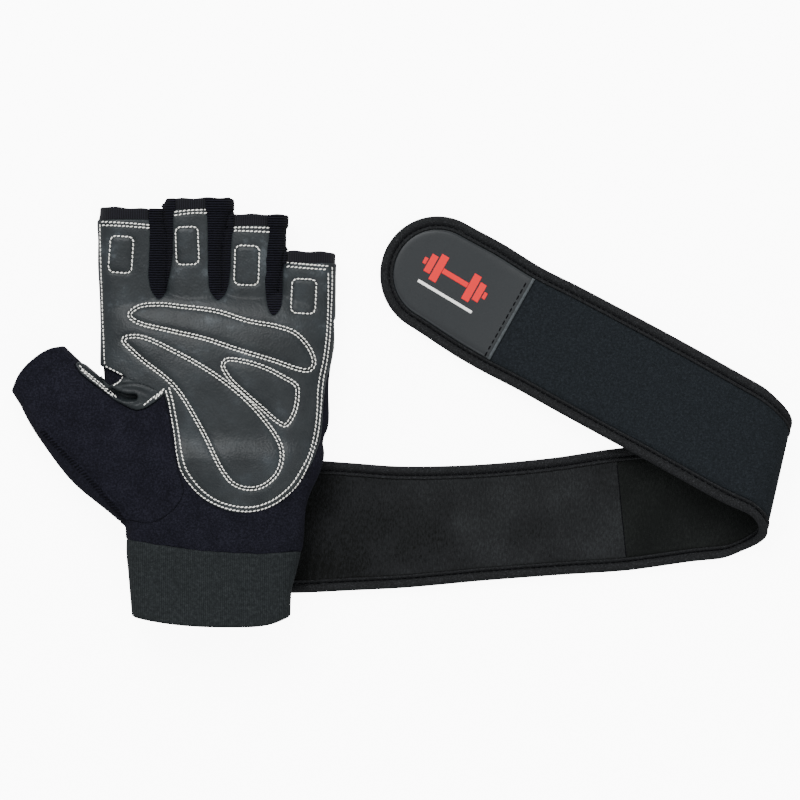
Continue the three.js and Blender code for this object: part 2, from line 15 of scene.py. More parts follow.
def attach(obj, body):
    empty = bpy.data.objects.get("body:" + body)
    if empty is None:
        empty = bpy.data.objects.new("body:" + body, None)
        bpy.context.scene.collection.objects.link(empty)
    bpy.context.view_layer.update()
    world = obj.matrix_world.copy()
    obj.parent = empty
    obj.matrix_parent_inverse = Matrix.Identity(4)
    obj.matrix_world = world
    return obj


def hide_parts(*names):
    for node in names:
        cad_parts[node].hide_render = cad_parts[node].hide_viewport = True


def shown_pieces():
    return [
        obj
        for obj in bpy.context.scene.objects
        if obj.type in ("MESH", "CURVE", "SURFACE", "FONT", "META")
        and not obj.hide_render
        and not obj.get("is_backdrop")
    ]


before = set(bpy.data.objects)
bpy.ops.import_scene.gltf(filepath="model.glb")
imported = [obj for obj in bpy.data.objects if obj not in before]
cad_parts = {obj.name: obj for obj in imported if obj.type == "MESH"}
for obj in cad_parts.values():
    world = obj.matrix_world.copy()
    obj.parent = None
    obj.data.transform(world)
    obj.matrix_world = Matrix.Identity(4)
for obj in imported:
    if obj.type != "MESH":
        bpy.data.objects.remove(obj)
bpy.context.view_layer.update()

MM = 0.001

# %% [markdown]
# The glove was photographed from straight above with a long lens, so nothing is foreshortened. A
# camera 2.5 m up with a narrow field does the same, and it needs no shift.

# %% Camera
FIELD = 0.344
MIDDLE_HEIGHT = 0.012
MIDDLE_X = 0.07955
CAMERA_HEIGHT = 2.5
SENSOR = 36
camera_data = bpy.data.cameras.new("camera")
camera = bpy.data.objects.new("camera", camera_data)
bpy.context.scene.collection.objects.link(camera)
camera.location = (MIDDLE_X, 0.0, CAMERA_HEIGHT)
camera_data.sensor_width = SENSOR
camera_data.lens = SENSOR * (camera.location.z - MIDDLE_HEIGHT) / FIELD
camera_data.clip_end = 20
bpy.context.scene.camera = camera
print("lens, mm:", round(camera_data.lens, 1))

# %% [markdown]
# Every finish needs colours and nodes. One function turns a hex colour as a painter writes it into
# the linear light that the shader works in, and one adds a node, so that a material reads as a short
# list.

# %% Colour and node helpers
# the distance between two bands of a wave texture whose scale is 1
WAVE_PITCH = 0.31416


def colour(code):
    channels = [int(code[i : i + 2], 16) / 255 for i in (1, 3, 5)]
    linear = [c / 12.92 if c <= 0.04045 else ((c + 0.055) / 1.055) ** 2.4 for c in channels]
    return (*linear, 1)


def add(tree, kind, inputs=None, **settings):
    node = tree.nodes.new(kind)
    for name, value in settings.items():
        setattr(node, name, value)
    for name, value in (inputs or {}).items():
        if isinstance(value, bpy.types.NodeSocket):
            tree.links.new(value, node.inputs[name])
        else:
            node.inputs[name].default_value = value
    return node


def new_material(name, base, roughness, ior=1.5, sheen=0.0, gloss=0.5, tint="#ffffff"):
    """A material, its tree and shader, and the place on the object."""
    material = bpy.data.materials.new(name)
    material.use_nodes = True
    material.diffuse_color = colour(base)
    tree = material.node_tree
    shader = tree.nodes["Principled BSDF"]
    shader.inputs["Base Color"].default_value = colour(base)
    shader.inputs["Roughness"].default_value = roughness
    shader.inputs["IOR"].default_value = ior
    shader.inputs["Specular IOR Level"].default_value = gloss
    shader.inputs["Sheen Weight"].default_value = sheen
    shader.inputs["Sheen Roughness"].default_value = 0.6
    shader.inputs["Sheen Tint"].default_value = colour(tint)
    place = add(tree, "ShaderNodeTexCoord").outputs["Object"]
    return material, tree, shader, place


def ramp(tree, factor, stops):
    node = add(tree, "ShaderNodeValToRGB", {"Fac": factor})
    for i, (place, code) in enumerate(stops):
        element = node.color_ramp.elements[i] if i < 2 else node.color_ramp.elements.new(place)
        element.position = place
        element.color = colour(code)
    return node.outputs["Color"]


def paint(tree, shader, factor, stops):
    tree.links.new(ramp(tree, factor, stops), shader.inputs["Base Color"])


def bump(tree, shader, height, depth, strength=1.0):
    node = add(tree, "ShaderNodeBump", {"Height": height, "Distance": depth, "Strength": strength})
    tree.links.new(node.outputs["Normal"], shader.inputs["Normal"])


def noise(tree, place, size, detail, roughness=0.5):
    """Cloudy noise with patches about `size` mm wide."""
    inputs = {"Vector": place, "Scale": 1 / (size * MM), "Detail": detail, "Roughness": roughness}
    return add(tree, "ShaderNodeTexNoise", inputs).outputs["Fac"]


def cells(tree, place, size, feature="F1"):
    """Round cells about `size` mm wide."""
    inputs = {"Vector": place, "Scale": 1 / (size * MM)}
    return add(tree, "ShaderNodeTexVoronoi", inputs, feature=feature).outputs["Distance"]


def bands(tree, place, pitch, direction, distortion, detail, detail_scale=1.0):
    """Soft bands, one every `pitch` mm."""
    inputs = {"Vector": place, "Scale": WAVE_PITCH / (pitch * MM), "Distortion": distortion, "Detail": detail,
              "Detail Scale": detail_scale}
    return add(tree, "ShaderNodeTexWave", inputs, bands_direction=direction).outputs["Fac"]


def combine(tree, operation, *values):
    return add(tree, "ShaderNodeMath", dict(enumerate(values)), operation=operation).outputs[0]


print("helpers ready")

# %% [markdown]
# A product like this is shot on a light table: a white sheet that glows, with large soft boxes above,
# so that the paper stays white and the shadows are faint. The floor therefore gives light of its own.
# It is left out of what cloth can see, because real light tables are masked up to the goods, and a
# glow from below would wash out black.

# %% Floor and light
bpy.ops.object.select_all(action="DESELECT")
bpy.ops.mesh.primitive_plane_add(size=6, location=(0, 0, -0.0002))
floor = bpy.context.active_object
floor.name = "floor"
paper, tree, shader, place = new_material("white_paper_backdrop", "#f4f4f3", 0.9)
shader.inputs["Emission Color"].default_value = colour("#ffffff")
shader.inputs["Emission Strength"].default_value = 9
floor.data.materials.append(paper)
floor.visible_diffuse = False
floor.visible_glossy = False
floor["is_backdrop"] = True

world = bpy.data.worlds.new("pale_room")
bpy.context.scene.world = world
world.use_nodes = True
world.node_tree.nodes["Background"].inputs["Color"].default_value = colour("#f7f8fa")
world.node_tree.nodes["Background"].inputs["Strength"].default_value = 1.05


def soft_box(name, place, size, power):
    data = bpy.data.lights.new(name, "AREA")
    data.shape = "SQUARE"
    data.size = size
    data.energy = power
    lamp = bpy.data.objects.new(name, data)
    lamp.location = place
    aim = Vector((0.07, 0.0, 0.0)) - Vector(place)
    lamp.rotation_euler = aim.to_track_quat("-Z", "Y").to_euler()
    bpy.context.scene.collection.objects.link(lamp)


soft_box("key_light", (-0.35, 1.1, 1.3), 0.9, 38)
soft_box("fill_light", (0.9, -0.7, 1.5), 1.2, 12)
print("stage ready")

# %% [markdown]
# The palm is synthetic leather: a polyurethane film cast on cloth and embossed with a fine grain.
# Fine pebbles about 0.8 mm wide give a satin surface, a slow mottle of 15 mm keeps it from looking
# painted, and dry scuffs a few millimetres long show where the skin has been folded, mostly towards
# the fingers.

# %% Embossed polyurethane leather
LEATHER = "#1d2123"
leather, tree, shader, place = new_material("embossed_polyurethane_leather", LEATHER, 0.48, 1.48, gloss=0.22)
mottle = noise(tree, place, 15, 5.0, 0.6)
tone = ramp(tree, mottle, [(0.32, "#14181a"), (0.5, LEATHER), (0.72, "#262b2e")])
worn = combine(tree, "MULTIPLY", noise(tree, place, 5, 6.0, 0.7), mottle)
amount = add(tree, "ShaderNodeMapRange", {"Value": worn, "From Min": 0.3, "From Max": 0.48, "To Max": 0.75})
along = add(tree, "ShaderNodeSeparateXYZ", {"Vector": place}).outputs["Y"]
where = add(tree, "ShaderNodeMapRange", {"Value": along, "From Min": 0.0, "From Max": 40 * MM, "To Min": 0.2})
scuffs = combine(tree, "MULTIPLY", amount.outputs[0], where.outputs[0])
mixed = add(tree, "ShaderNodeMix", {"Factor": scuffs, 6: tone, 7: colour("#4a5054")}, data_type="RGBA")
tree.links.new(mixed.outputs[2], shader.inputs["Base Color"])
grain = combine(tree, "MULTIPLY_ADD", noise(tree, place, 3, 4.0), 1.2, cells(tree, place, 0.8, "SMOOTH_F1"))
bump(tree, shader, grain, 0.00016, 0.8)
print(leather.name)

# %% [markdown]
# The back, the heel and the thumb are stretch fabric: a fine circular knit of nylon and elastane,
# dyed blue-black. The stitches are about 0.5 mm, hardly seen, so the eye gets a matt cloth with a
# faint fuzz along its edges.

# %% Circular-knit stretch fabric
FABRIC = "#111118"
stretch, tree, shader, place = new_material("circular_knit_stretch_fabric", FABRIC, 0.95, 1.45, 0.06, 0.07,
                                            "#60606e")
shade = combine(tree, "MULTIPLY_ADD", noise(tree, place, 9, 4.0, 0.6), 0.3, noise(tree, place, 0.8, 3.0, 0.7))
paint(tree, shader, shade, [(0.5, "#0b0b10"), (0.65, FABRIC), (0.82, "#1b1b23")])
bump(tree, shader, cells(tree, place, 0.55), 0.00012, 0.7)
print(stretch.name)

# %% [markdown]
# The strips between the fingers are a rib knit: raised wales run across the finger, one to a
# millimetre. A saw of bands along Y draws the ribs both in height and in shade, because the valleys
# hold no light.

# %% Rib-knit strips
RIB_PITCH = 1.05
rib_knit, tree, shader, place = new_material("rib_knit_nylon", "#06060a", 0.95, 1.45, 0.02, 0.04)
wales = bands(tree, place, RIB_PITCH, "Y", 0.6, 1.0, 2.0)
ribs = combine(tree, "MULTIPLY_ADD", noise(tree, place, 0.9, 3.0, 0.7), 0.9, wales)
paint(tree, shader, ribs, [(0.5, "#010102"), (0.9, "#040407"), (1.35, "#14141c")])
bump(tree, shader, ribs, 0.0004, 0.9)
print(rib_knit.name)

# %% [markdown]
# The finger hems are narrow woven elastic. Its covering yarns cross the tape, so fine cords stand
# side by side round the finger.

# %% Woven elastic of the hems
hem_elastic, tree, shader, place = new_material("woven_hem_elastic", "#141418", 0.9, 1.45, 0.05, 0.07)
cords = bands(tree, place, 0.95, "X", 1.0, 1.0)
paint(tree, shader, cords, [(0.1, "#0a0a0d"), (0.9, "#18181d")])
bump(tree, shader, cords, 0.00015, 0.6)
print(hem_elastic.name)

# %% [markdown]
# The cuff is a wide woven elastic, dark grey-green. Cords 0.9 mm apart run along the arm and short
# cross threads break them up, which gives a dull, slightly grainy band.

# %% Wide cuff elastic
CUFF = "#1c1f20"
cuff_elastic, tree, shader, place = new_material("wide_woven_elastic", CUFF, 0.9, 1.45, 0.08, 0.08, "#5c6163")
cords = bands(tree, place, 0.9, "X", 1.5, 2.0)
weave = combine(tree, "MULTIPLY_ADD", cords, 0.12, noise(tree, place, 1.3, 6.0, 0.8))
paint(tree, shader, weave, [(0.38, "#141617"), (0.56, CUFF), (0.74, "#292c2d")])
bump(tree, shader, weave, 0.00022, 0.8)
print(cuff_elastic.name)

# %% [markdown]
# The strap is neoprene, a closed rubber foam, faced outside with brushed nylon loop cloth that the
# hook tape grips. Brushing raises fibres 1 mm long, so the face is soft, matt and speckled. The inner
# face is plain jersey, darker and smoother, with a fine grain across the strap. Shade is painted into
# it, darkest near the wrist, where it lies in a fold by the cuff. The length that lies under the
# returning strap takes a darker copy of the jersey, with the return's shadow painted in.

# %% Brushed loop cloth and plain jersey on neoprene
OUTER = "#171a1d"
loop_cloth, tree, shader, place = new_material("brushed_loop_cloth_on_neoprene", OUTER, 0.95, 1.45, 0.1, 0.07,
                                               "#565c60")
fuzz = noise(tree, place, 0.9, 5.0, 0.75)
paint(tree, shader, fuzz, [(0.34, "#101315"), (0.52, OUTER), (0.74, "#23272b")])
bump(tree, shader, fuzz, 0.0004, 0.6)


def plain_jersey(name, painted_shade_tone, dark, middle, light):
    cloth, tree, shader, place = new_material(name, middle, 0.9, 1.45, 0.05, 0.07)
    grain = add(tree, "ShaderNodeMapping", {"Vector": place, "Scale": (1.0, 0.4, 1.0)}).outputs[0]
    lines = noise(tree, grain, 0.7, 4.0, 0.7)
    tone = combine(tree, "MULTIPLY_ADD", noise(tree, place, 22, 3.0), 0.6, lines)
    along = add(tree, "ShaderNodeSeparateXYZ", {"Vector": place}).outputs["X"]
    # painted shade: the tone drops by up to 0.28 towards the wrist end, where the strap lies in shade by the cuff
    painted_wrist_shade = add(tree, "ShaderNodeMapRange", {"Value": along, "From Min": 38 * MM, "From Max": 105 * MM,
                                             "To Min": -0.28, "To Max": 0.0})
    tone = combine(tree, "ADD", tone, painted_wrist_shade.outputs[0])
    paint(tree, shader, tone, [(0.5, painted_shade_tone), (0.66, dark), (0.82, middle), (1.04, light)])
    bump(tree, shader, lines, 0.0003, 0.5)
    return cloth


jersey = plain_jersey("plain_jersey_on_neoprene", "#060706", "#121314", "#18191a", "#212324")
# a darker copy of the same jersey, with painted shadow: it goes on the band, whose lying length is shaded by the
# returning strap
shaded_jersey_copy = plain_jersey("jersey_with_painted_shadow", "#060706", "#080a09", "#0c0e0d", "#141615")
print(loop_cloth.name, jersey.name, shaded_jersey_copy.name)

# %% [markdown]
# Folded binding tape closes the strap's edge. It is a twill of dull black yarn with a little lighter
# grain.

# %% Twill binding tape
tape, tree, shader, place = new_material("twill_binding_tape", "#1a1a1c", 0.85, 1.45, 0.08, 0.1, "#6a6b70")
yarn = noise(tree, place, 0.7, 4.0, 0.75)
paint(tree, shader, yarn, [(0.36, "#0f0f10"), (0.55, "#1a1b1c"), (0.75, "#333336")])
bump(tree, shader, yarn, 0.00035, 0.7)
print(tape.name)

# %% [markdown]
# The end of the strap carries a smooth patch of calendered vinyl with a screen-printed mark, red and
# white. Calendering leaves a nearly flat, satin skin with a very fine orange peel.

# %% Calendered vinyl, prints, threads and hook tape
vinyl, tree, shader, place = new_material("calendered_vinyl_patch", "#1c1f21", 0.5, 1.52, gloss=0.25)
bump(tree, shader, noise(tree, place, 0.7, 2.0), 0.00005, 0.6)

vinyl_edge, tree, shader, place = new_material("turned_vinyl_edge", "#32363a", 0.55, 1.52, gloss=0.25)
paint(tree, shader, noise(tree, place, 1.5, 3.0), [(0.3, "#282c2e"), (0.7, "#3a3f42")])


def print_ink(name, base):
    ink, tree, shader, place = new_material(name, base, 0.5, 1.5, gloss=0.3)
    bump(tree, shader, noise(tree, place, 0.5, 2.0), 0.00003, 0.5)
    return ink


def spun_thread(name, dark, light, gloss):
    thread, tree, shader, place = new_material(name, light, 0.7, 1.5, gloss=gloss)
    twist = noise(tree, place, 0.6, 3.0)
    paint(tree, shader, twist, [(0.35, dark), (0.6, light)])
    bump(tree, shader, twist, 0.0001, 0.6)
    return thread


red_ink = print_ink("red_screen_ink", "#d20a14")
white_ink = print_ink("white_screen_ink", "#e9e9e6")
cream_thread = spun_thread("cream_polyester_thread", "#dddcd2", "#fbfaf5", gloss=0.3)
black_thread = spun_thread("black_polyester_thread", "#020204", "#07070b", gloss=0.05)

hook_tape, tree, shader, place = new_material("moulded_hook_tape", "#0c0c0c", 0.6, 1.5, gloss=0.2)
bump(tree, shader, cells(tree, place, 1.3), 0.0006, 1.0)
print("finishes:", len(bpy.data.materials))

# %% [markdown]
# The hand of the glove is drawn from the same tables as its solids: places across it are shares of
# the hand's width, places along it are shares of the palm's length. A curve through the rows gives as
# many as are wanted.

# %% Sizes and tables of the hand
HAND_WIDTH = 103 * MM
PALM_LENGTH = 108 * MM
PALM_DEPTH = 26 * MM
FINGER_DEPTH = 17 * MM
THUMB_DEPTH = 22 * MM
CUFF_DEPTH = 22.5 * MM
WRIST_LIFT = 4.3 * MM
SQUASH = 2.5 * MM
FULLNESS = 3.1
SEAM_HEIGHT = 9 * MM
HEM_LENGTH = 4.9 * MM
STRAP_EDGE = -26.7 * MM
WRIST_RAMP = 11 * MM

# v, left, right, lift, high
PALM_ROWS = [
    (-0.7, -0.362, 0.335, 1, 0.86), (-0.601, -0.367, 0.36, 1, 0.88), (-0.43, -0.38, 0.38, 1, 0.93),
    (-0.279, -0.405, 0.443, 1, 0.97), (-0.15, -0.426, 0.455, 0.1, 1), (-0.095, -0.433, 0.474, 0, 1),
    (0.08, -0.463, 0.476, 0, 1), (0.239, -0.473, 0.493, 0, 0.92), (0.326, -0.472, 0.497, 0, 0.82),
    (0.4, -0.475, 0.498, 0, 0.66), (0.44, -0.46, 0.47, 0, 0.4),
]
# v, left, right
FINGERS = {
    "index": (0.764, [(0.2, -0.472, -0.198), (0.45, -0.48, -0.198), (0.637, -0.487, -0.199),
                      (0.708, -0.49, -0.214), (0.735, -0.483, -0.2205), (0.82, -0.481, -0.226)]),
    "middle": (0.804, [(0.2, -0.204, 0.034), (0.45, -0.204, 0.034), (0.637, -0.203, 0.038),
                       (0.736, -0.218, 0.066), (0.77, -0.21, 0.068), (0.8, -0.194, 0.068), (0.86, -0.182, 0.069)]),
    "ring": (0.739, [(0.2, 0.027, 0.262), (0.45, 0.027, 0.27), (0.549, 0.027, 0.288), (0.637, 0.03, 0.2925),
                     (0.72, 0.053, 0.295), (0.741, 0.058, 0.296), (0.75, 0.1, 0.298), (0.8, 0.15, 0.3)]),
    "little": (0.591, [(0.2, 0.2535, 0.497), (0.45, 0.262, 0.499), (0.5, 0.27, 0.5), (0.56, 0.285, 0.502),
                       (0.596, 0.297, 0.503), (0.612, 0.312, 0.503), (0.65, 0.34, 0.504)]),
}
# u, v, half, lift, high
THUMB_ROWS = [
    (-0.24, -0.405, 0.168, 1, 0.95), (-0.355, -0.271, 0.2, 0.6, 1.05), (-0.518, -0.131, 0.192, 0, 1.05),
    (-0.625, -0.009, 0.169, 0, 1), (-0.743, 0.129, 0.145, 0, 0.9), (-0.83, 0.23, 0.135, 0, 0.85),
]


def plan(points):
    return np.array(points, float) * [HAND_WIDTH, PALM_LENGTH]


def curve_through(points, steps, closed=False):
    """A centripetal curve through rows of numbers, with `steps` parts to each gap."""
    p = np.array(points, float)
    before, after = (p[-1:], p[:2]) if closed else ([2 * p[0] - p[1]], [2 * p[-1] - p[-2]])
    q = np.vstack([before, p, after])
    line = []
    for a, b, c, d in zip(q, q[1:], q[2:], q[3:]):
        t1 = max(np.linalg.norm(b - a), 1e-9) ** 0.5
        t2 = t1 + max(np.linalg.norm(c - b), 1e-9) ** 0.5
        t3 = t2 + max(np.linalg.norm(d - c), 1e-9) ** 0.5
        for t in t1 + (t2 - t1) * np.arange(steps) / steps:
            ab, bc = a + (b - a) * t / t1, b + (c - b) * (t - t1) / (t2 - t1)
            cd = c + (d - c) * (t - t2) / (t3 - t2)
            abc, bcd = ab + (bc - ab) * t / t2, bc + (cd - bc) * (t - t1) / (t3 - t1)
            line.append(abc + (bcd - abc) * (t - t1) / (t2 - t1))
    return np.array(line if closed else [*line, p[-1]])


print("palm rows:", len(curve_through(PALM_ROWS, 4)))

# %% [markdown]
# Each section is a rounded box, a little sunk at the bottom because its own weight presses it flat.
# The palm, four fingers and the thumb are lofted one by one as closed shapes.

# %% Loft the palm, the fingers and the thumb
def boxy(part):
    """A sine or cosine pushed outwards, so that an ellipse becomes a rounded box."""
    return np.sign(part) * np.abs(part) ** (2 / FULLNESS)


def section(x, y, across, half, low, high, sides):
    turn = 2 * np.pi * (np.arange(sides) + 0.5) / sides
    reach = half * boxy(np.cos(turn))
    rise = (high - low) / 2 * boxy(np.sin(turn))
    return np.stack([x + reach * across[0], y + reach * across[1], (high + low) / 2 + rise], axis=1)


def new_object(name, points, faces, *materials):
    mesh = bpy.data.meshes.new(name)
    mesh.from_pydata([tuple(p) for p in points], [], [tuple(int(i) for i in f) for f in faces])
    mesh.update()
    for material in materials:
        mesh.materials.append(material)
    thing = bpy.data.objects.new(name, mesh)
    bpy.context.scene.collection.objects.link(thing)
    return thing


def loft_faces(rings, sides):
    quads = []
    for r in range(rings - 1):
        for i in range(sides):
            a, b = r * sides + i, r * sides + (i + 1) % sides
            quads.append((a, b, b + sides, a + sides))
    return quads


def closed_loft(name, rings):
    sides = len(rings[0])
    faces = loft_faces(len(rings), sides)
    faces += [tuple(reversed(range(sides))), tuple((len(rings) - 1) * sides + i for i in range(sides))]
    return new_object(name, np.vstack(rings), faces)


def upright_rings(rows, depth, sides, steps=5):
    rings = []
    for v, left, right, *rest in curve_through(rows, steps):
        lift, high = rest or (0, 1)
        base = lift * WRIST_LIFT
        rings.append(section((left + right) / 2 * HAND_WIDTH, v * PALM_LENGTH, (1, 0),
                             (right - left) / 2 * HAND_WIDTH, base - SQUASH, base + high * depth, sides))
    return rings


parts = [closed_loft("palm_form", upright_rings(PALM_ROWS, PALM_DEPTH, 72))]
for name, (tip, rows) in FINGERS.items():
    parts.append(closed_loft(name + "_form", upright_rings(rows, FINGER_DEPTH, 48)))

thumb_line = curve_through(THUMB_ROWS, 5)
thumb_places = plan(thumb_line[:, :2])
thumb_ways = np.gradient(thumb_places, axis=0)
thumb_ways /= np.linalg.norm(thumb_ways, axis=1)[:, None]
rings = []
for (x, y), (wx, wy), (u, v, half, lift, high) in zip(thumb_places, thumb_ways, thumb_line):
    base = lift * WRIST_LIFT
    rings.append(section(x, y, (wy, -wx), half * HAND_WIDTH, base - SQUASH, base + high * THUMB_DEPTH, 56))
parts.append(closed_loft("thumb_form", rings))
print("lofts:", [p.name for p in parts])

# %% [markdown]
# A voxel remesh turns the six overlapping lofts into one even skin of small squares, and a few rounds
# of smoothing melt the joints between them, as cloth would stretch over them. The bottom is then set
# flat on the table, with a ramp where the wrist lies on its own strap.

# %% Remesh and smooth the hand
VOXEL = 0.62 * MM
# points this near to a cut are drawn onto it
SNAP = 0.12 * VOXEL


def only(*things):
    bpy.ops.object.select_all(action="DESELECT")
    for thing in things:
        thing.select_set(True)
    bpy.context.view_layer.objects.active = things[0]


def apply_modifier(thing, kind, **settings):
    only(thing)
    modifier = thing.modifiers.new(kind.lower(), kind)
    for name, value in settings.items():
        setattr(modifier, name, value)
    bpy.ops.object.modifier_apply(modifier=modifier.name)


def face_outwards(thing):
    only(thing)
    bpy.ops.object.mode_set(mode="EDIT")
    bpy.ops.mesh.select_all(action="SELECT")
    bpy.ops.mesh.normals_make_consistent(inside=False)
    bpy.ops.object.mode_set(mode="OBJECT")


for part in parts:
    face_outwards(part)
only(*parts)
bpy.ops.object.join()
hand = bpy.context.active_object
hand.name = "hand_form"
apply_modifier(hand, "REMESH", mode="VOXEL", voxel_size=VOXEL)
apply_modifier(hand, "SMOOTH", factor=0.5, iterations=8)


def table_height(y):
    return WRIST_LIFT * np.clip((STRAP_EDGE + WRIST_RAMP - y) / WRIST_RAMP, 0, 1)


def coordinates(mesh):
    flat = np.empty(len(mesh.vertices) * 3)
    mesh.vertices.foreach_get("co", flat)
    return flat.reshape(-1, 3)


skin = coordinates(hand.data)
skin[:, 2] = np.maximum(skin[:, 2], table_height(skin[:, 1]))
hand.data.vertices.foreach_set("co", skin.ravel())
hand.data.update()
normals = np.empty(len(skin) * 3)
hand.data.vertex_normals.foreach_get("vector", normals)
normals = normals.reshape(-1, 3)
hand.data.calc_loop_triangles()
triangles = np.empty(len(hand.data.loop_triangles) * 3, np.int32)
hand.data.loop_triangles.foreach_get("vertices", triangles)
triangles = triangles.reshape(-1, 3)
print("hand form:", len(skin), "points")

# %% [markdown]
# A glove is cut from flat patterns and sewn, so each panel is a patch of the hand's skin inside an
# outline drawn from above. For every point the signed distance to the outline is known. Points near
# it are drawn onto it, and triangles that cross it are cut there, which gives a clean edge without
# the slivers of a Boolean.

# %% Distances to outlines, and cutting
def edge_distance(points, line, closed=True):
    """Distance from plan points to a line, and the nearest places on it."""
    a = line if closed else line[:-1]
    b = np.roll(line, -1, axis=0) if closed else line[1:]
    best = np.full(len(points), 1e9)
    near = np.zeros((len(points), 2))
    for p, q in zip(a, b):
        way = q - p
        t = np.clip(((points - p) @ way) / max(way @ way, 1e-15), 0, 1)
        foot = p + t[:, None] * way
        d = np.hypot(*(points - foot).T)
        closer = d < best
        best[closer], near[closer] = d[closer], foot[closer]
    return best, near


def inside_outline(points, outline):
    x, y = points.T
    inside = np.zeros(len(points), bool)
    for (x0, y0), (x1, y1) in zip(outline, np.roll(outline, -1, axis=0)):
        if y0 == y1:
            continue
        crosses = (y0 > y) != (y1 > y)
        inside ^= crosses & (x < x0 + (y - y0) * (x1 - x0) / (y1 - y0))
    return inside


def depth_in(outline):
    """How far a point is inside an outline; negative outside."""
    outline = np.array(outline, float)

    def measure(points):
        distance, near = edge_distance(points[:, :2], outline)
        return np.where(inside_outline(points[:, :2], outline), distance, -distance)

    return measure


def not_in(measure):
    return lambda points: -measure(points)


def cut_out(keep):
    """Points, triangles and normals of the skin where keep(points) is positive."""
    value = keep(skin)
    value = np.where(np.abs(value) < SNAP, 0, value)
    corner = value[triangles]
    whole = (corner >= 0).all(1) & (corner > 0).any(1)
    crossing = (corner > 0).any(1) & (corner < 0).any(1)
    faces = [tuple(t) for t in triangles[whole]]
    extra, made = [], {}
    for t in triangles[crossing]:
        polygon = []
        for i, j in zip(t, np.roll(t, -1)):
            if value[i] >= 0:
                polygon.append(i)
            if value[i] * value[j] < 0:
                key = (min(i, j), max(i, j))
                if key not in made:
                    made[key] = len(skin) + len(extra)
                    share = value[key[0]] / (value[key[0]] - value[key[1]])
                    extra.append((key, share))
                polygon.append(made[key])
        faces += [(polygon[0], b, c) for b, c in zip(polygon[1:], polygon[2:])]
    points, ways = skin, normals
    if extra:
        a, b = np.array([k for k, s in extra]).T
        share = np.array([s for k, s in extra])[:, None]
        points = np.vstack([skin, skin[a] + (skin[b] - skin[a]) * share])
        ways = np.vstack([normals, normals[a] + (normals[b] - normals[a]) * share])
    faces = np.array(faces)
    used, order = np.unique(faces, return_inverse=True)
    ways = ways[used] / np.linalg.norm(ways[used], axis=1)[:, None]
    return points[used], order.reshape(-1, 3), ways


print("cutting ready")

# %% [markdown]
# The pattern pieces follow the seams seen in the photograph: the long palm leather with its U-shaped
# heel, the leather gusset by the thumb, the thumb stall, the heel of stretch fabric, and knit strips
# between the fingers.

# %% Outlines of the pattern pieces
FAR = 3 * HAND_WIDTH
HEEL_EDGE = [
    (0.497, 0.318), (0.495, 0.219), (0.482, 0.14), (0.464, 0.08), (0.454, 0.0), (0.451, -0.06),
    (0.447, -0.12), (0.429, -0.193), (0.397, -0.268), (0.279, -0.401), (0.198, -0.4365), (0.1, -0.4465),
    (0.023, -0.428), (-0.052, -0.387), (-0.112, -0.3235), (-0.1435, -0.2615), (-0.163, -0.159),
    (-0.18, -0.063), (-0.208, 0.02),
]
GUSSET_TOP = [(-0.208, 0.02), (-0.271, 0.054), (-0.372, 0.092)]
GUSSET_FOOT = [
    (-0.208, 0.02), (-0.25, -0.01), (-0.288, -0.032), (-0.33, -0.038), (-0.405, -0.002), (-0.501, 0.064),
    (-0.555, 0.107), (-0.58, 0.143),
]
NOTCH = [(-0.43, 0.058), (-0.372, 0.092), (-0.451, 0.125), (-0.52, 0.15), (-0.51, 0.13), (-0.463, 0.082)]
THUMB_SEAM = [
    (-0.187, -0.064), (-0.152, -0.265), (-0.126, -0.36), (-0.146, -0.41), (-0.2, -0.46), (-0.264, -0.487),
    (-0.363, -0.478),
]
THUMB_END = [
    (-0.93, -0.08), (-0.854, 0.04), (-0.81, 0.112), (-0.752, 0.167), (-0.693, 0.203), (-0.635, 0.219),
    (-0.52, 0.235),
]
CUFF_SEAM = [
    (-0.62, -0.515), (-0.372, -0.55), (-0.24, -0.574), (-0.1, -0.594), (0.05, -0.606), (0.2, -0.611),
    (0.363, -0.603), (0.62, -0.58),
]
KNIT_STRIPS = {
    "index_middle": [
        (-0.264, 0.9), (-0.264, 0.66), (-0.271, 0.549), (-0.273, 0.486), (-0.258, 0.43), (-0.23, 0.4),
        (-0.203, 0.43), (-0.19, 0.478), (-0.18, 0.549), (-0.174, 0.66), (-0.174, 0.9),
    ],
    "middle_ring": [
        (-0.026, 0.9), (-0.026, 0.66), (-0.024, 0.51), (-0.016, 0.434), (0.015, 0.396), (0.048, 0.43),
        (0.062, 0.502), (0.069, 0.66), (0.073, 0.9),
    ],
    "ring_little": [
        (0.236, 0.9), (0.232, 0.68), (0.219, 0.518), (0.218, 0.418), (0.228, 0.362), (0.246, 0.336),
        (0.269, 0.358), (0.279, 0.418), (0.285, 0.51), (0.293, 0.58), (0.293, 0.9),
    ],
}
heel_line = plan(curve_through(HEEL_EDGE, 6))
leather_outline = np.vstack([plan([(-0.53, 0.165)]), [[-FAR, FAR], [FAR, FAR], [FAR, heel_line[0][1]]], heel_line,
                             plan(GUSSET_TOP[1:]), plan([NOTCH[2]])])
foot_line = plan(curve_through(GUSSET_FOOT, 6))
STRIP_TOP = [(-0.566, 0.152), (-0.545, 0.142)]
notch_side = plan([*STRIP_TOP, NOTCH[3], NOTCH[4], NOTCH[5], NOTCH[0], NOTCH[1]])
gusset_outline = np.vstack([foot_line, notch_side, plan(GUSSET_TOP[1:2])])
all_leather_outline = np.vstack([plan([(-0.53, 0.165)]), [[-FAR, FAR], [FAR, FAR], [FAR, heel_line[0][1]]], heel_line,
                                 foot_line, notch_side, plan([NOTCH[2]])])
thumb_seam_line = plan(curve_through(THUMB_SEAM, 6))
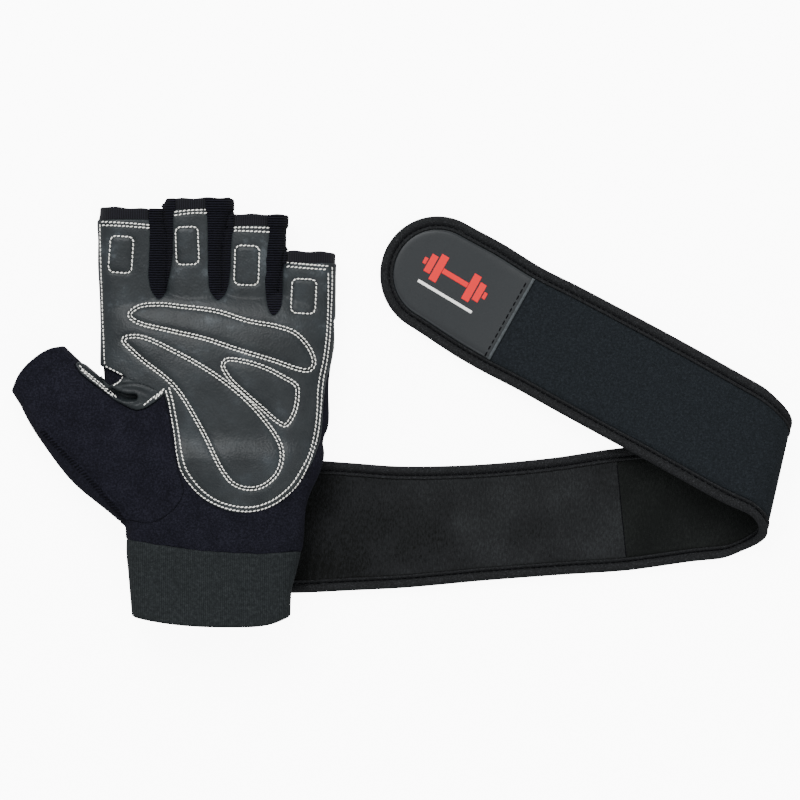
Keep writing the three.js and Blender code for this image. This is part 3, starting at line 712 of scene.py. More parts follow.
stall_outline = np.vstack([foot_line[::-1], thumb_seam_line, plan([(-0.6, -0.52)]),
                           [[-FAR, -0.52 * PALM_LENGTH], [-FAR, FAR / 3]],
                           plan([(-0.5, 0.3), (-0.5, 0.155), *STRIP_TOP[::-1]])])
notch_outline = plan(NOTCH)
thumb_end_line = plan(curve_through(THUMB_END, 6))
thumb_side = np.vstack([thumb_end_line, [[thumb_end_line[-1][0], FAR], [FAR, FAR], [FAR, -FAR], [-FAR, -FAR]]])
seam_line = plan(curve_through(CUFF_SEAM, 6))
knit_outlines = {name: plan(curve_through(edge[1:-1], 5)) for name, edge in KNIT_STRIPS.items()}
knit_outlines = {name: np.vstack([plan([KNIT_STRIPS[name][0]]), line, plan([KNIT_STRIPS[name][-1]])])
                 for name, line in knit_outlines.items()}

in_leather, in_gusset, in_stall = depth_in(leather_outline), depth_in(gusset_outline), depth_in(stall_outline)
in_all_leather = depth_in(all_leather_outline)
in_notch, in_thumb_end = depth_in(notch_outline), depth_in(thumb_side)
in_knit = {name: depth_in(line) for name, line in knit_outlines.items()}


def above_seam(points):
    return points[:, 1] - np.interp(points[:, 0], seam_line[:, 0], seam_line[:, 1])


def palm_side(points):
    return points[:, 2] - SEAM_HEIGHT


# v and u along the middle of each gap between two fingers
FINGER_GAPS = [
    ([0.2, 0.637, 0.738, 0.9], [-0.201, -0.201, -0.2195, -0.222]),
    ([0.2, 0.637, 0.72, 0.738, 0.742, 0.9], [0.0305, 0.034, 0.0565, 0.06, 0.0785, 0.0785]),
    ([0.2, 0.45, 0.56, 0.596, 0.608, 0.655, 0.66, 0.9], [0.258, 0.266, 0.285, 0.2945, 0.302, 0.305, 0.33, 0.35]),
]


def room_below(share):
    """A measure of how far a point is below its own finger's hem, or below a share of the hem's height."""

    def measure(points):
        v = points[:, 1] / PALM_LENGTH
        number = sum((points[:, 0] > np.interp(v, *gap) * HAND_WIDTH).astype(int) for gap in FINGER_GAPS)
        tips = np.array([tip for tip, rows in FINGERS.values()]) * PALM_LENGTH - HEM_LENGTH * (1 - share)
        return tips[number] - points[:, 1]

    return measure


finger_room = room_below(0)
print("outlines:", len(leather_outline), len(stall_outline))

# %% [markdown]
# A panel is the skin inside some outlines, lifted a little where it lies over its neighbour, tucked
# under where the neighbour lies over it, and rolled down at a sewn edge. Solidify then gives it the
# thickness of the cloth. Thin ripples drawn from a few crossed waves stand for the slack that a soft
# empty glove always has.

# %% Make a panel
def ripples(points, seed, length, height):
    """Soft crossed waves, up to `height`, about `length` long."""
    dice = np.random.default_rng(seed)
    total = np.zeros(len(points))
    for _ in range(7):
        way = dice.uniform(0, 2 * np.pi)
        wave = length * dice.uniform(0.7, 1.5)
        run = points[:, 0] * math.cos(way) + points[:, 1] * math.sin(way)
        total += np.sin(2 * np.pi * run / wave + dice.uniform(0, 6.3))
    return total * height / 4


def rolled(distance, radius, depth):
    """How far an edge turns down at a distance from it."""
    share = np.clip(1 - distance / radius, 0, 1)
    return depth * (1 - np.sqrt(1 - share**2 * 0.995))


def without_crumbs(faces, fewest=400):
    """The faces of the patches that have at least so many of them."""
    parent = np.arange(faces.max() + 1)
    while True:
        low = parent[faces].min(axis=1)
        before = parent.copy()
        for k in range(3):
            np.minimum.at(parent, faces[:, k], low)
        parent = parent[parent]
        if (parent == before).all():
            break
    home, count = np.unique(parent[faces[:, 0]], return_counts=True)
    return np.isin(parent[faces[:, 0]], home[count >= fewest])


# width and length in mm and area in square cm of each cut piece, before it was sewn
FLAT_CUTS = {
    "palm_leather_skin": (106, 140, 101), "thumb_gusset_skin": (24, 42, 6), "thumb_stall_cloth": (64, 98, 41),
    "heel_cloth": (98, 66, 36), "back_cloth": (114, 166, 138), "thumb_back_cloth": (62, 98, 38.5),
    "knit_index_middle": (20, 50, 7.3), "knit_middle_ring": (19, 52, 7.1), "knit_ring_little": (17, 52, 6.4),
    "hem_index": (12, 90, 5.5), "hem_middle": (12, 90, 5.7), "hem_ring": (12, 84, 5.1), "hem_little": (12, 80, 4.8),
    "cuff_elastic_band": (34, 166, 55), "strap_base_neoprene": (46, 200, 91), "strap_band_neoprene": (45, 272, 113),
    "strap_binding_tape": (11, 970, 96), "tip_patch_vinyl": (40, 60, 21.5), "hook_tape": (41, 84, 32),
}


def stand_for(piece, node):
    """The piece takes the place of its solid."""
    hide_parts(node)
    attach(piece, "root")


def declare(piece):
    """Print the piece's face count and its area, beside the area it was cut to."""
    width, length, area = FLAT_CUTS[piece.name]
    made = sum(face.area for face in piece.data.polygons) / 2 * 1e4
    print(piece.name, len(piece.data.polygons), "faces,", round(made, 1), "of", area, "square cm flat")


def panel(name, node, terms, lift, wall, material, detail=None, turned=(), roll=(1.1, 0.9)):
    """A sewn panel of the skin.

    terms are (measure, tuck): the cut lies `tuck` mm outside the outline. Edges in `turned` roll down over
    roll[0] mm by roll[1] mm.
    """

    def keep(points):
        return np.min([measure(points) + tuck * MM for measure, tuck in terms], axis=0)

    points, faces, ways = cut_out(keep)
    faces = faces[without_crumbs(faces)]
    turned_edges = [measure(points) for measure in turned]
    rise = np.full(len(points), lift * MM)
    if detail is not None:
        rise += detail(points)
    if turned_edges:
        rise -= rolled(np.min(turned_edges, axis=0), roll[0] * MM, roll[1] * MM)
    moved = points + ways * rise[:, None]
    moved[:, 2] = np.maximum(moved[:, 2], table_height(moved[:, 1]))
    piece = new_object(name, moved, faces, material)
    piece.data.shade_smooth()
    apply_modifier(piece, "SOLIDIFY", thickness=wall * MM, offset=-1, use_rim=True)
    piece.data.shade_smooth()
    stand_for(piece, node)
    declare(piece)
    return piece


# %% [markdown]
# The palm leather is quilted: two rows of thread hold the foam pads, and the skin dips between the
# rows. The pads' outlines are measured from the photograph, and every stitched row follows them.

# %% Pads, and the quilting they leave in the leather
PALM_PADS = {
    "upper": [
        (-0.355, 0.338), (-0.318, 0.371), (-0.236, 0.381), (-0.128, 0.371), (0.008, 0.354), (0.144, 0.314),
        (0.262, 0.293), (0.343, 0.263), (0.405, 0.19), (0.415, 0.14), (0.39, 0.116), (0.234, 0.159),
        (0.099, 0.198), (-0.038, 0.241), (-0.173, 0.271), (-0.327, 0.31),
    ],
    "heel": [
        (-0.38, 0.24), (-0.318, 0.254), (-0.146, 0.185), (0.035, 0.081), (0.171, -0.034), (0.275, -0.172),
        (0.284, -0.232), (0.262, -0.293), (0.207, -0.34), (0.144, -0.352), (0.081, -0.332), (0.035, -0.28),
        (-0.056, -0.111), (-0.164, 0.053), (-0.318, 0.174),
    ],
    "side": [
        (0.035, 0.139), (0.053, 0.16), (0.117, 0.156), (0.207, 0.131), (0.289, 0.092), (0.343, 0.057),
        (0.348, 0.018), (0.334, -0.051), (0.298, -0.101), (0.262, -0.086), (0.189, -0.025), (0.117, 0.035),
        (0.062, 0.087),
    ],
}
# centre u, v, width mm, height mm, turn in degrees
FINGER_PADS = {
    "index": (-0.39, 0.578, 9.9, 15.6, -4), "middle": (-0.114, 0.613, 9.6, 16.1, 2),
    "ring": (0.134, 0.535, 10.4, 16.9, -2), "little": (0.371, 0.412, 10.4, 14.8, -3),
}


def rounded_rectangle(u, v, width, height, turn):
    radius = width / 4.2
    corners = []
    for i, j, start in ((1, 1, 0), (-1, 1, 90), (-1, -1, 180), (1, -1, 270)):
        for angle in np.radians(start + np.arange(0, 91, 15)):
            corners.append((i * (width / 2 - radius) + radius * math.cos(angle),
                            j * (height / 2 - radius) + radius * math.sin(angle)))
    c, s = math.cos(math.radians(turn)), math.sin(math.radians(turn))
    return np.array(corners) * MM @ np.array([[c, s], [-s, c]]) + plan([(u, v)])


pad_outlines = {name: plan(curve_through(edge, 6, closed=True)) for name, edge in PALM_PADS.items()}
finger_pad_outlines = {name: rounded_rectangle(*shape) for name, shape in FINGER_PADS.items()}
pad_edges = {name: depth_in(line) for name, line in {**pad_outlines, **finger_pad_outlines}.items()}


LEATHER_SEED = 3


def quilting(points):
    """Valleys along the pads' edges, and slack between them."""
    nearest = np.min([np.abs(pad_edges[name](points)) for name in pad_outlines], axis=0)
    small = np.min([np.abs(pad_edges[name](points)) for name in finger_pad_outlines], axis=0)
    valley = 0.5 * MM * np.exp(-((nearest / (1.5 * MM)) ** 2))
    small_valley = 0.32 * MM * np.exp(-((small / (1.1 * MM)) ** 2))
    return ripples(points, LEATHER_SEED, 24 * MM, 0.35 * MM) - valley - small_valley


print("pads:", list(pad_edges))

# %% [markdown]
# Rows of stitches press the leather down along its edges too. The lines below are where the needle
# ran.

# %% Stitch lines
STITCH_LINES = {
    "left_edge": [
        (-0.479, 0.701), (-0.478, 0.638), (-0.476, 0.572), (-0.474, 0.506), (-0.471, 0.44), (-0.469, 0.374),
        (-0.466, 0.308), (-0.462, 0.242), (-0.459, 0.176), (-0.456, 0.14),
    ],
    "left_corner": [(-0.455, 0.135), (-0.428, 0.122), (-0.401, 0.11), (-0.38, 0.099)],
    "notch_edge": [(-0.378, 0.093), (-0.396, 0.07), (-0.421, 0.057)],
    "index_top_a": [(-0.477, 0.709), (-0.418, 0.706), (-0.349, 0.702), (-0.27, 0.695)],
    "index_top_b": [(-0.473, 0.695), (-0.418, 0.693), (-0.349, 0.689), (-0.27, 0.683)],
    "middle_top_a": [(-0.17, 0.747), (-0.107, 0.753), (-0.03, 0.756)],
    "middle_top_b": [(-0.17, 0.733), (-0.1, 0.742), (-0.03, 0.743)],
    "ring_top_a": [(0.078, 0.685), (0.143, 0.686), (0.23, 0.684)],
    "ring_top_b": [(0.078, 0.673), (0.143, 0.671), (0.23, 0.667)],
    "little_top_a": [(0.298, 0.546), (0.378, 0.539), (0.475, 0.532)],
    "little_top_b": [(0.298, 0.531), (0.378, 0.524), (0.465, 0.518)],
    "palm_edge_outer": [
        (0.489, 0.531), (0.489, 0.466), (0.487, 0.407), (0.484, 0.341), (0.479, 0.242), (0.468, 0.156),
        (0.455, 0.09), (0.447, 0.03), (0.445, -0.01), (0.441, -0.052), (0.432, -0.129), (0.415, -0.194),
        (0.381, -0.278), (0.34, -0.343), (0.279, -0.395), (0.225, -0.424), (0.157, -0.44), (0.089, -0.437),
        (0.021, -0.418), (-0.047, -0.382), (-0.101, -0.33), (-0.135, -0.278), (-0.152, -0.214),
        (-0.165, -0.129), (-0.179, -0.052), (-0.189, 0.0), (-0.201, 0.04),
    ],
    "palm_edge_inner": [
        (0.473, 0.506), (0.473, 0.407), (0.47, 0.308), (0.465, 0.242), (0.453, 0.156), (0.438, 0.09),
        (0.43, 0.03), (0.429, -0.019), (0.424, -0.084), (0.413, -0.149), (0.395, -0.214), (0.361, -0.278),
        (0.32, -0.337), (0.259, -0.388), (0.211, -0.411), (0.157, -0.424), (0.089, -0.42), (0.021, -0.401),
        (-0.033, -0.369), (-0.083, -0.32), (-0.117, -0.268), (-0.134, -0.206), (-0.147, -0.129),
        (-0.161, -0.052), (-0.172, 0.0), (-0.187, 0.052),
    ],
    "gusset_arm_a": [(-0.205, 0.045), (-0.224, 0.029), (-0.248, 0.013), (-0.293, -0.021)],
    "gusset_arm_b": [(-0.212, 0.032), (-0.229, 0.018), (-0.246, 0.004)],
    "thumb_strip_a": [
        (-0.563, 0.139), (-0.552, 0.124), (-0.523, 0.102), (-0.487, 0.074), (-0.446, 0.043), (-0.405, 0.01),
    ],
    "thumb_strip_b": [(-0.556, 0.121), (-0.523, 0.092), (-0.487, 0.064), (-0.446, 0.032), (-0.42, 0.014)],
}
stitch_lines = {name: plan(curve_through(line, 6)) for name, line in STITCH_LINES.items()}


def stitched_down(points):
    near = np.full(len(points), 1.0)
    for name, line in stitch_lines.items():
        near = np.minimum(near, edge_distance(points[:, :2], line, closed=False)[0])
    return -0.22 * MM * np.exp(-((near / (0.9 * MM)) ** 2))


print("stitch lines:", len(stitch_lines))

# %% [markdown]
# The palm leather is the first panel: all of the palm side inside the leather's outline, less the
# gusset, the notch by the thumb and the knit strips. It is cut at the side seam, the cuff and the
# hems.

# %% Palm leather
def leather_shape(points):
    return quilting(points) + stitched_down(points)


out_of_knit = [not_in(measure) for measure in in_knit.values()]
palm_measures = (palm_side, in_leather, not_in(in_gusset), not_in(in_notch), above_seam, finger_room)
palm_terms = [(measure, 0) for measure in (*palm_measures, *out_of_knit)]
# the leather lies this many mm over the skin of the hand
LEATHER_LIFT = 0.8
palm = panel("palm_leather_skin", "palm_leather", palm_terms, LEATHER_LIFT, 1.5, leather,
             leather_shape, turned=(palm_side, in_all_leather, not_in(in_notch), finger_room, *out_of_knit))

# %% [markdown]
# Leather gathers where the thumb folds in. Thin wrinkles fan out from the inner corner of the notch,
# and the deepest one opens as a dark slot. Each follows its own course, as the photograph shows it,
# and fades at its ends. The gusset runs on from the palm leather without a seam there, so its edge to
# the palm isn't rolled.

# %% Gusset
# each wrinkle: its course in u and v, its height and its half width in mm
WRINKLES = [
    ([(-0.392, 0.084), (-0.33, 0.089), (-0.27, 0.088), (-0.225, 0.078)], 0.55, 0.5),
    ([(-0.405, 0.064), (-0.36, 0.072), (-0.31, 0.072), (-0.26, 0.058), (-0.235, 0.04)], 0.65, 0.5),
    ([(-0.4, 0.048), (-0.345, 0.056), (-0.295, 0.048), (-0.25, 0.026)], 0.6, 0.55),
    ([(-0.42, 0.056), (-0.385, 0.068), (-0.35, 0.08)], 0.4, 0.45),
    ([(-0.405, 0.004), (-0.365, -0.014), (-0.32, -0.024), (-0.285, -0.014)], 0.6, 0.5),
    ([(-0.33, 0.034), (-0.29, 0.018), (-0.265, -0.002)], 0.45, 0.6),
    ([(-0.38, 0.08), (-0.32, 0.081), (-0.25, 0.07)], -0.4, 0.4),
    ([(-0.4, 0.056), (-0.35, 0.064), (-0.3, 0.061), (-0.245, 0.04)], -0.5, 0.4),
    ([(-0.35, 0.036), (-0.31, 0.032), (-0.27, 0.012)], -0.4, 0.5),
]
SLOT_LINE = plan(curve_through([(-0.425, 0.034), (-0.4, 0.022), (-0.365, 0.012), (-0.332, 0.011)], 6))


def wrinkle(points, line, height, half_width):
    """A soft ridge or groove along a line, fading out at its ends."""
    distance, near = edge_distance(points[:, :2], line, closed=False)
    ends = np.minimum(np.hypot(*(near - line[0]).T), np.hypot(*(near - line[-1]).T))
    fade = 0.15 + 0.85 * np.clip(ends / (3.5 * MM), 0, 1)
    return height * MM * fade * np.exp(-((distance / (half_width * MM)) ** 2))


def fan(points):
    rise = sum(wrinkle(points, plan(curve_through(line, 5)), height, width) for line, height, width in WRINKLES)
    slot = edge_distance(points[:, :2], SLOT_LINE, closed=False)[0]
    rim = 0.5 * MM * np.exp(-(((slot - 2.3 * MM) / (0.7 * MM)) ** 2))
    return rise - 4.2 * MM * np.exp(-((slot / (1.25 * MM)) ** 4)) + rim


gusset_terms = [(palm_side, 0), (in_gusset, 0.05), (not_in(in_notch), 0)]
gusset = panel("thumb_gusset_skin", "thumb_gusset", gusset_terms, LEATHER_LIFT, 1.3, leather,
               lambda p: fan(p) + stitched_down(p) + ripples(p, LEATHER_SEED, 24 * MM, 0.35 * MM),
               turned=(in_all_leather, not_in(in_notch)), roll=(1.0, 0.6))

# %% [markdown]
# The stall round the thumb and the heel of the hand are stretch fabric. They pass under the leather's
# edge by a millimetre and a half, and meet each other in a plain turned seam, which shows as a thin
# dark line.

# %% Stretch fabric of the palm side
OVERLOCK = [
    (-0.707, -0.11), (-0.668, -0.147), (-0.633, -0.183), (-0.589, -0.223), (-0.547, -0.263),
    (-0.501, -0.308), (-0.459, -0.352), (-0.418, -0.398), (-0.388, -0.43), (-0.365, -0.465),
]
overlock_fold = plan(curve_through(OVERLOCK, 6))
overlock_band = overlock_fold + np.array([-1.35, -1.2]) * MM


def slack(points):
    seam = edge_distance(points[:, :2], overlock_fold, closed=False)[0]
    band = edge_distance(points[:, :2], overlock_band, closed=False)[0]
    groove = -0.55 * MM * np.exp(-((seam / (0.55 * MM)) ** 2)) + 0.3 * MM * np.exp(-((band / (1.7 * MM)) ** 4))
    hem = -0.3 * MM * np.exp(-(((in_thumb_end(points) - 7.5 * MM) / (0.6 * MM)) ** 2))
    return ripples(points, 11, 26 * MM, 0.5 * MM) + groove + hem


under_leather = [(not_in(in_leather), 1.5), (not_in(in_gusset), 1.5), (not_in(in_notch), 0)]
stall_terms = [(palm_side, 0), (in_stall, 0), (in_thumb_end, 0), (above_seam, 0), *under_leather]
stall = panel("thumb_stall_cloth", "thumb_stall", stall_terms, 0, 1.3, stretch, slack,
              turned=(palm_side, in_stall, in_thumb_end), roll=(1.0, 0.55))


def gathered(points):
    """Small puckers that the elastic pulls into the cloth just above its seam."""
    above = above_seam(points)
    pull = np.exp(-((above - 1.5 * MM) / (4.5 * MM)) ** 2)
    uneven = 1.5 * np.sin(points[:, 0] / (7 * MM))
    return slack(points) + 0.3 * MM * pull * np.sin(points[:, 0] / (1.35 * MM) + uneven)


heel_terms = [(palm_side, 0), (not_in(in_stall), 0), (above_seam, 0.6), *under_leather]
heel = panel("heel_cloth", "heel_fabric", heel_terms, 0, 1.3, stretch, gathered,
             turned=(palm_side, not_in(in_stall), above_seam), roll=(1.0, 0.55))

# %% [markdown]
# The back of the hand and of the thumb lie underneath, pressed flat by the weight of the glove. They
# reach a little above the side seam, under the edge of the palm side, and the back shows through the
# notch by the thumb.

# %% Back of the hand and of the thumb
UNDERLAP = 1.2 * MM


def back_side(points):
    return SEAM_HEIGHT - points[:, 2]


def or_notch(measure):
    """Where a measure holds, and in the notch and a little round it."""
    return lambda points: np.maximum(measure(points), in_notch(points) + UNDERLAP)


back_terms = [(or_notch(lambda p: back_side(p) + UNDERLAP), 0), (or_notch(not_in(in_stall)), 0),
              (above_seam, 0.6), (finger_room, 0)]
back = panel("back_cloth", "back_panel", back_terms, 0, 1.3, stretch,
             lambda p: -0.9 * MM * (p[:, 2] > SEAM_HEIGHT + UNDERLAP), turned=(above_seam, finger_room))
thumb_back_terms = [(back_side, 1.2), (in_stall, 0), (in_thumb_end, 0), (above_seam, 0), (not_in(in_notch), -1.2)]
panel("thumb_back_cloth", "thumb_back", thumb_back_terms, 0, 1.3, stretch,
      turned=(in_thumb_end,))

# %% [markdown]
# Between the fingers the knit strip is folded lengthwise, so a deep crease runs down its middle. It
# is sewn over the hem's end and reaches up to the hem's top edge.

# %% Knit strips
KNIT_FOOT = 4.5 * MM
to_hem_top = room_below(0.96)


def over_hem(points):
    above = np.clip(1.5 - finger_room(points) / (0.8 * MM), 0, 1)
    return 0.7 * MM * above + ripples(points, 5, 9 * MM, 0.12 * MM)


def over_knit_foot(points):
    return points[:, 2] - KNIT_FOOT


for name, measure in in_knit.items():
    terms = [(over_knit_foot, 0), (measure, 1.2), (to_hem_top, 0)]
    panel("knit_" + name, "fourchette_" + name, terms, 0.5, 1.2, rib_knit, over_hem,
          turned=(to_hem_top,), roll=(1.0, 0.8))

# %% [markdown]
# Each finger ends in an elastic hem. A cylinder is the start: its upright edges are subdivided for
# rings, and the rings are then laid onto the finger's own sections, with both ends turned in a
# little.

# %% Tubes laid onto sections
def tube(name, sides, rings):
    """An open cylinder of unit height with evenly spaced rings, as angle and height for each point."""
    bpy.ops.object.select_all(action="DESELECT")
    bpy.ops.mesh.primitive_cylinder_add(vertices=sides, radius=1, depth=1, end_fill_type="NOTHING",
                                        location=(0, 0, 0))
    piece = bpy.context.active_object
    piece.name = piece.data.name = name
    bpy.ops.object.mode_set(mode="EDIT")
    bpy.ops.mesh.select_mode(type="EDGE")
    bpy.ops.mesh.select_all(action="DESELECT")
    bpy.ops.object.mode_set(mode="OBJECT")
    for edge in piece.data.edges:
        a, b = (piece.data.vertices[i].co for i in edge.vertices)
        edge.select = abs(a.z - b.z) > 0.5
    bpy.ops.object.mode_set(mode="EDIT")
    bpy.ops.mesh.subdivide(number_cuts=rings - 2)
    bpy.ops.object.mode_set(mode="OBJECT")
    at = coordinates(piece.data)
    return piece, np.arctan2(at[:, 1], at[:, 0]), at[:, 2] + 0.5


def row_at(rows, v):
    """The table's numbers at each v, along the curve through its rows."""
    line = curve_through(sorted(rows), 12)
    return [np.interp(v, line[:, 0], line[:, k]) for k in range(1, line.shape[1])]


def on_section(turn, v, rows, depth, grow):
    left, right, *rest = row_at(rows, v)
    lift, high = rest if rest else (np.zeros_like(v), np.ones_like(v))
    base = lift * WRIST_LIFT
    low, top = base - SQUASH, base + high * depth
    x = (left + right) / 2 * HAND_WIDTH + ((right - left) / 2 * HAND_WIDTH + grow) * boxy(np.cos(turn))
    z = (top + low) / 2 + ((top - low) / 2 + grow) * boxy(np.sin(turn))
    return x, v * PALM_LENGTH, z


def finish_tube(piece, points, wall, node, material):
    points[:, 2] = np.maximum(points[:, 2], table_height(points[:, 1]))
    piece.data.vertices.foreach_set("co", points.ravel())
    piece.data.update()
    face_outwards(piece)
    apply_modifier(piece, "SOLIDIFY", thickness=wall * MM, offset=-1, use_rim=True)
    piece.data.materials.append(material)
    piece.data.shade_smooth()
    stand_for(piece, node)
    declare(piece)


# %% [markdown]
# Four such tubes make the hems. Each is a little slanted and wavy, because the elastic has relaxed
# unevenly.

# %% Finger hems
HEM_TUCK = 1.2 * MM
HEM_RUN = 6 * MM
HEM_SLANTS = {"index": -0.7, "middle": 0.3, "ring": -0.2, "little": -0.4}
for name, (tip, rows) in FINGERS.items():
    piece, turn, along = tube("hem_" + name, 110, 14)
    centre = (rows[-2][1] + rows[-2][2]) / 2 * HAND_WIDTH
    v = tip - (1 - along) * (HEM_LENGTH + HEM_TUCK) / PALM_LENGTH
    grow = -rolled(np.minimum(along, 1 - along) * HEM_RUN, 1 * MM, 0.9 * MM)
    x, y, z = on_section(turn, v, rows, FINGER_DEPTH, grow)
    side = (x - centre) / (HAND_WIDTH * 0.12)
    y = y + along * (HEM_SLANTS[name] * side + 0.25 * np.sin(7 * side + len(name))) * MM
    z = z + 0.25 * MM * np.sin(9 * side + 2 * len(name)) * along
    finish_tube(piece, np.stack([x, y, z], axis=1), 1.5, "finger_hem_" + name, hem_elastic)

# %% [markdown]
# The cuff is a band of wide elastic, sewn on round the wrist: its seam pulls small puckers into the
# fabric above, a stitched line runs six threads below it, and its lower edge hangs in a shallow
# curve.

# %% Cuff
CUFF_ROWS = [
    (-0.5, -0.362, 0.372, 1, 1.02), (-0.6, -0.366, 0.358, 1, 1.04), (-0.68, -0.359, 0.338, 1, 1),
    (-0.76, -0.352, 0.318, 1, 0.97), (-0.864, -0.343, 0.313, 1, 0.94), (-0.97, -0.336, 0.313, 1, 0.92),
]
CUFF_END = [
    (-0.6, -0.79), (-0.343, -0.862), (-0.16, -0.892), (0.05, -0.902), (0.22, -0.894), (0.313, -0.862),
    (0.6, -0.74),
]
CUFF_LENGTH = 33 * MM
cuff_end_line = plan(curve_through(CUFF_END, 6))
cuff, turn, along = tube("cuff_elastic_band", 220, 56)
x = np.cos(turn) * 0.36 * HAND_WIDTH
for _ in range(4):
    top = np.interp(x, seam_line[:, 0], seam_line[:, 1]) + 0.4 * MM
    low = np.interp(x, cuff_end_line[:, 0], cuff_end_line[:, 1])
    y = low + (top - low) * along
    grow = (0.3 * MM - rolled(along * CUFF_LENGTH, 1.2 * MM, 1.1 * MM)
            - rolled((1 - along) * CUFF_LENGTH, 1.3 * MM, 1.0 * MM))
    x, y, z = on_section(turn, y / PALM_LENGTH, CUFF_ROWS, CUFF_DEPTH, grow)
line_depth = 0.2 * MM * np.exp(-((((1 - along) * CUFF_LENGTH - 2.6 * MM) / (0.5 * MM)) ** 2))
puckered = 0.25 * MM * np.sin(x / (2.6 * MM) + 2 * along) * np.exp(-(1 - along) * 5)
up = np.sin(turn) > 0
z = z + up * (puckered - line_depth + ripples(np.stack([x, y], axis=1), 21, 30 * MM, 0.3 * MM))
finish_tube(cuff, np.stack([x, y, z], axis=1), 1.8, "cuff_band", cuff_elastic)

# %% [markdown]
# A pad is foam under leather: a crowned, closed form whose edge goes down into the quilted valley.

# %% Pads
PAD_SINK = 0.45 * MM


def pad(name, node, measure, rise, shoulder):
    points, faces, ways = cut_out(lambda p: np.minimum(measure(p) - 0.15 * MM, palm_side(p)))
    depth = measure(points)
    share = np.clip(1 - depth / (shoulder * MM), 0, 1)
    crown = (rise * MM + PAD_SINK) * np.sqrt(1 - share**2 * 0.999) - PAD_SINK
    top = points + ways * (LEATHER_LIFT * MM + crown + leather_shape(points) * 0.6)[:, None]
    piece = new_object(name, top, faces, leather)
    apply_modifier(piece, "SOLIDIFY", thickness=0.9 * MM, offset=-1, use_rim=True)
    piece.data.shade_smooth()
    stand_for(piece, node)
    print(name, len(piece.data.polygons), "faces")
    return piece


pads = [pad("foam_pad_" + name, "palm_pad_" + name, pad_edges[name], 0.9, 4.5) for name in PALM_PADS]
pads += [pad("finger_foam_" + name, "finger_pad_" + name, pad_edges[name], 0.5, 2.6) for name in FINGER_PADS]

# %% [markdown]
# About a thousand cream stitches show. One is modelled as a short swollen bead of thread, and copies
# are laid along each line at the machine's pitch of 1.7 millimetres. Every one is dropped onto the
# leather from above, leans with the surface and is turned a few degrees, because a lockstitch never
# lies quite in line.

# %% Stitches
ground_points, ground_faces = [], []
for piece in (palm, gusset, stall, heel, back, *pads):
    start = sum(len(p) for p in ground_points)
    ground_points.append(coordinates(piece.data))
    ground_faces += [[start + i for i in p.vertices] for p in piece.data.polygons]
ground = BVHTree.FromPolygons([tuple(p) for p in np.vstack(ground_points)], ground_faces)

bpy.ops.object.select_all(action="DESELECT")
bpy.ops.mesh.primitive_uv_sphere_add(segments=8, ring_count=6, radius=0.5, location=(0, 0, 0))
bead = bpy.context.active_object
bead_points = coordinates(bead.data)
bead_faces = [tuple(p.vertices) for p in bead.data.polygons]
bead_points = np.stack([bead_points[:, 2], bead_points[:, 0], bead_points[:, 1]], axis=1)
bead_points[:, 0] = np.sign(bead_points[:, 0]) * (np.abs(bead_points[:, 0]) * 2) ** 0.7 / 2
bpy.data.objects.remove(bead)
print("bead:", len(bead_faces), "faces")


ABOVE_ALL = 80 * MM
NEARBY = 0.3 * MM
BEAD_RISE = 0.1 * MM


def beads_along(lines, pitch, length, width, lean, seed):
    dice = np.random.default_rng(seed)
    points, faces = [], []
    for line in lines:
        steps = np.hypot(*np.diff(line, axis=0).T)
        run = np.concatenate([[0], np.cumsum(steps)])
        count = max(1, round(run[-1] / (pitch * MM)))
        for k in range(count):
            s = (k + 0.5) / count * run[-1] + dice.normal(0, 0.05) * MM
            x, y = (np.interp(s, run, line[:, j]) for j in (0, 1))
            dx, dy = (np.interp(s + NEARBY, run, line[:, j]) - np.interp(s - NEARBY, run, line[:, j])
                      for j in (0, 1))
            hit, normal = ground.ray_cast(Vector((x, y, ABOVE_ALL)), Vector((0, 0, -1)))[:2]
            if hit is None or normal.z < 0.2:
                continue
            angle = math.atan2(dy, dx) + math.radians(lean + dice.normal(0, 4))
            way = Vector((math.cos(angle), math.sin(angle), 0))
            way = (way - normal * way.dot(normal)).normalized()
            side = normal.cross(way)
            centre = hit + normal * BEAD_RISE
            size = (length * dice.uniform(0.93, 1.07) * MM, width * MM, width * 0.75 * MM)
            basis = np.array([way, side, normal])
            start = len(points) * len(bead_points)
            points.append(np.array(centre) + (bead_points * size) @ basis)
            faces += [[start + i for i in f] for f in bead_faces]
    return np.vstack(points), faces, len(points)


def closed_line(outline):
    return np.vstack([outline, outline[:1]])


def offset_line(outline, distance):
    """A closed outline moved outwards."""
    ahead, behind = np.roll(outline, -1, axis=0), np.roll(outline, 1, axis=0)
    way = ahead - behind
    way /= np.linalg.norm(way, axis=1)[:, None]
    area = np.sum(outline[:, 0] * np.roll(outline[:, 1], -1) - np.roll(outline[:, 0], -1) * outline[:, 1])
    side = np.stack([way[:, 1], -way[:, 0]], axis=1) * np.sign(area)
    return outline + side * distance


def thread_piece(name, lines, material, **shape):
    points, faces, count = beads_along(lines, **shape)
    piece = new_object(name, points, faces, material)
    piece.data.shade_smooth()
    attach(piece, "root")
    print(name, count, "stitches")
    return piece


CREAM = {"pitch": 1.72, "length": 1.4, "width": 0.6, "lean": 12}
double_rows = [offset_line(line, shift * MM) for line in pad_outlines.values() for shift in (0.5, -0.85)]
single_rows = list(finger_pad_outlines.values())
for name, rows, seed in (("palm", double_rows, 31), ("finger", single_rows, 32)):
    thread_piece("stitches_" + name + "_pads", [closed_line(row) for row in rows], cream_thread, seed=seed, **CREAM)
thread_piece("stitches_leather_edges", list(stitch_lines.values()), cream_thread, seed=33, **CREAM)

# %% [markdown]
# The thumb's long seam is overlocked: slanting loops of dark thread wrap the raw edge, a millimetre
# and a half apart.

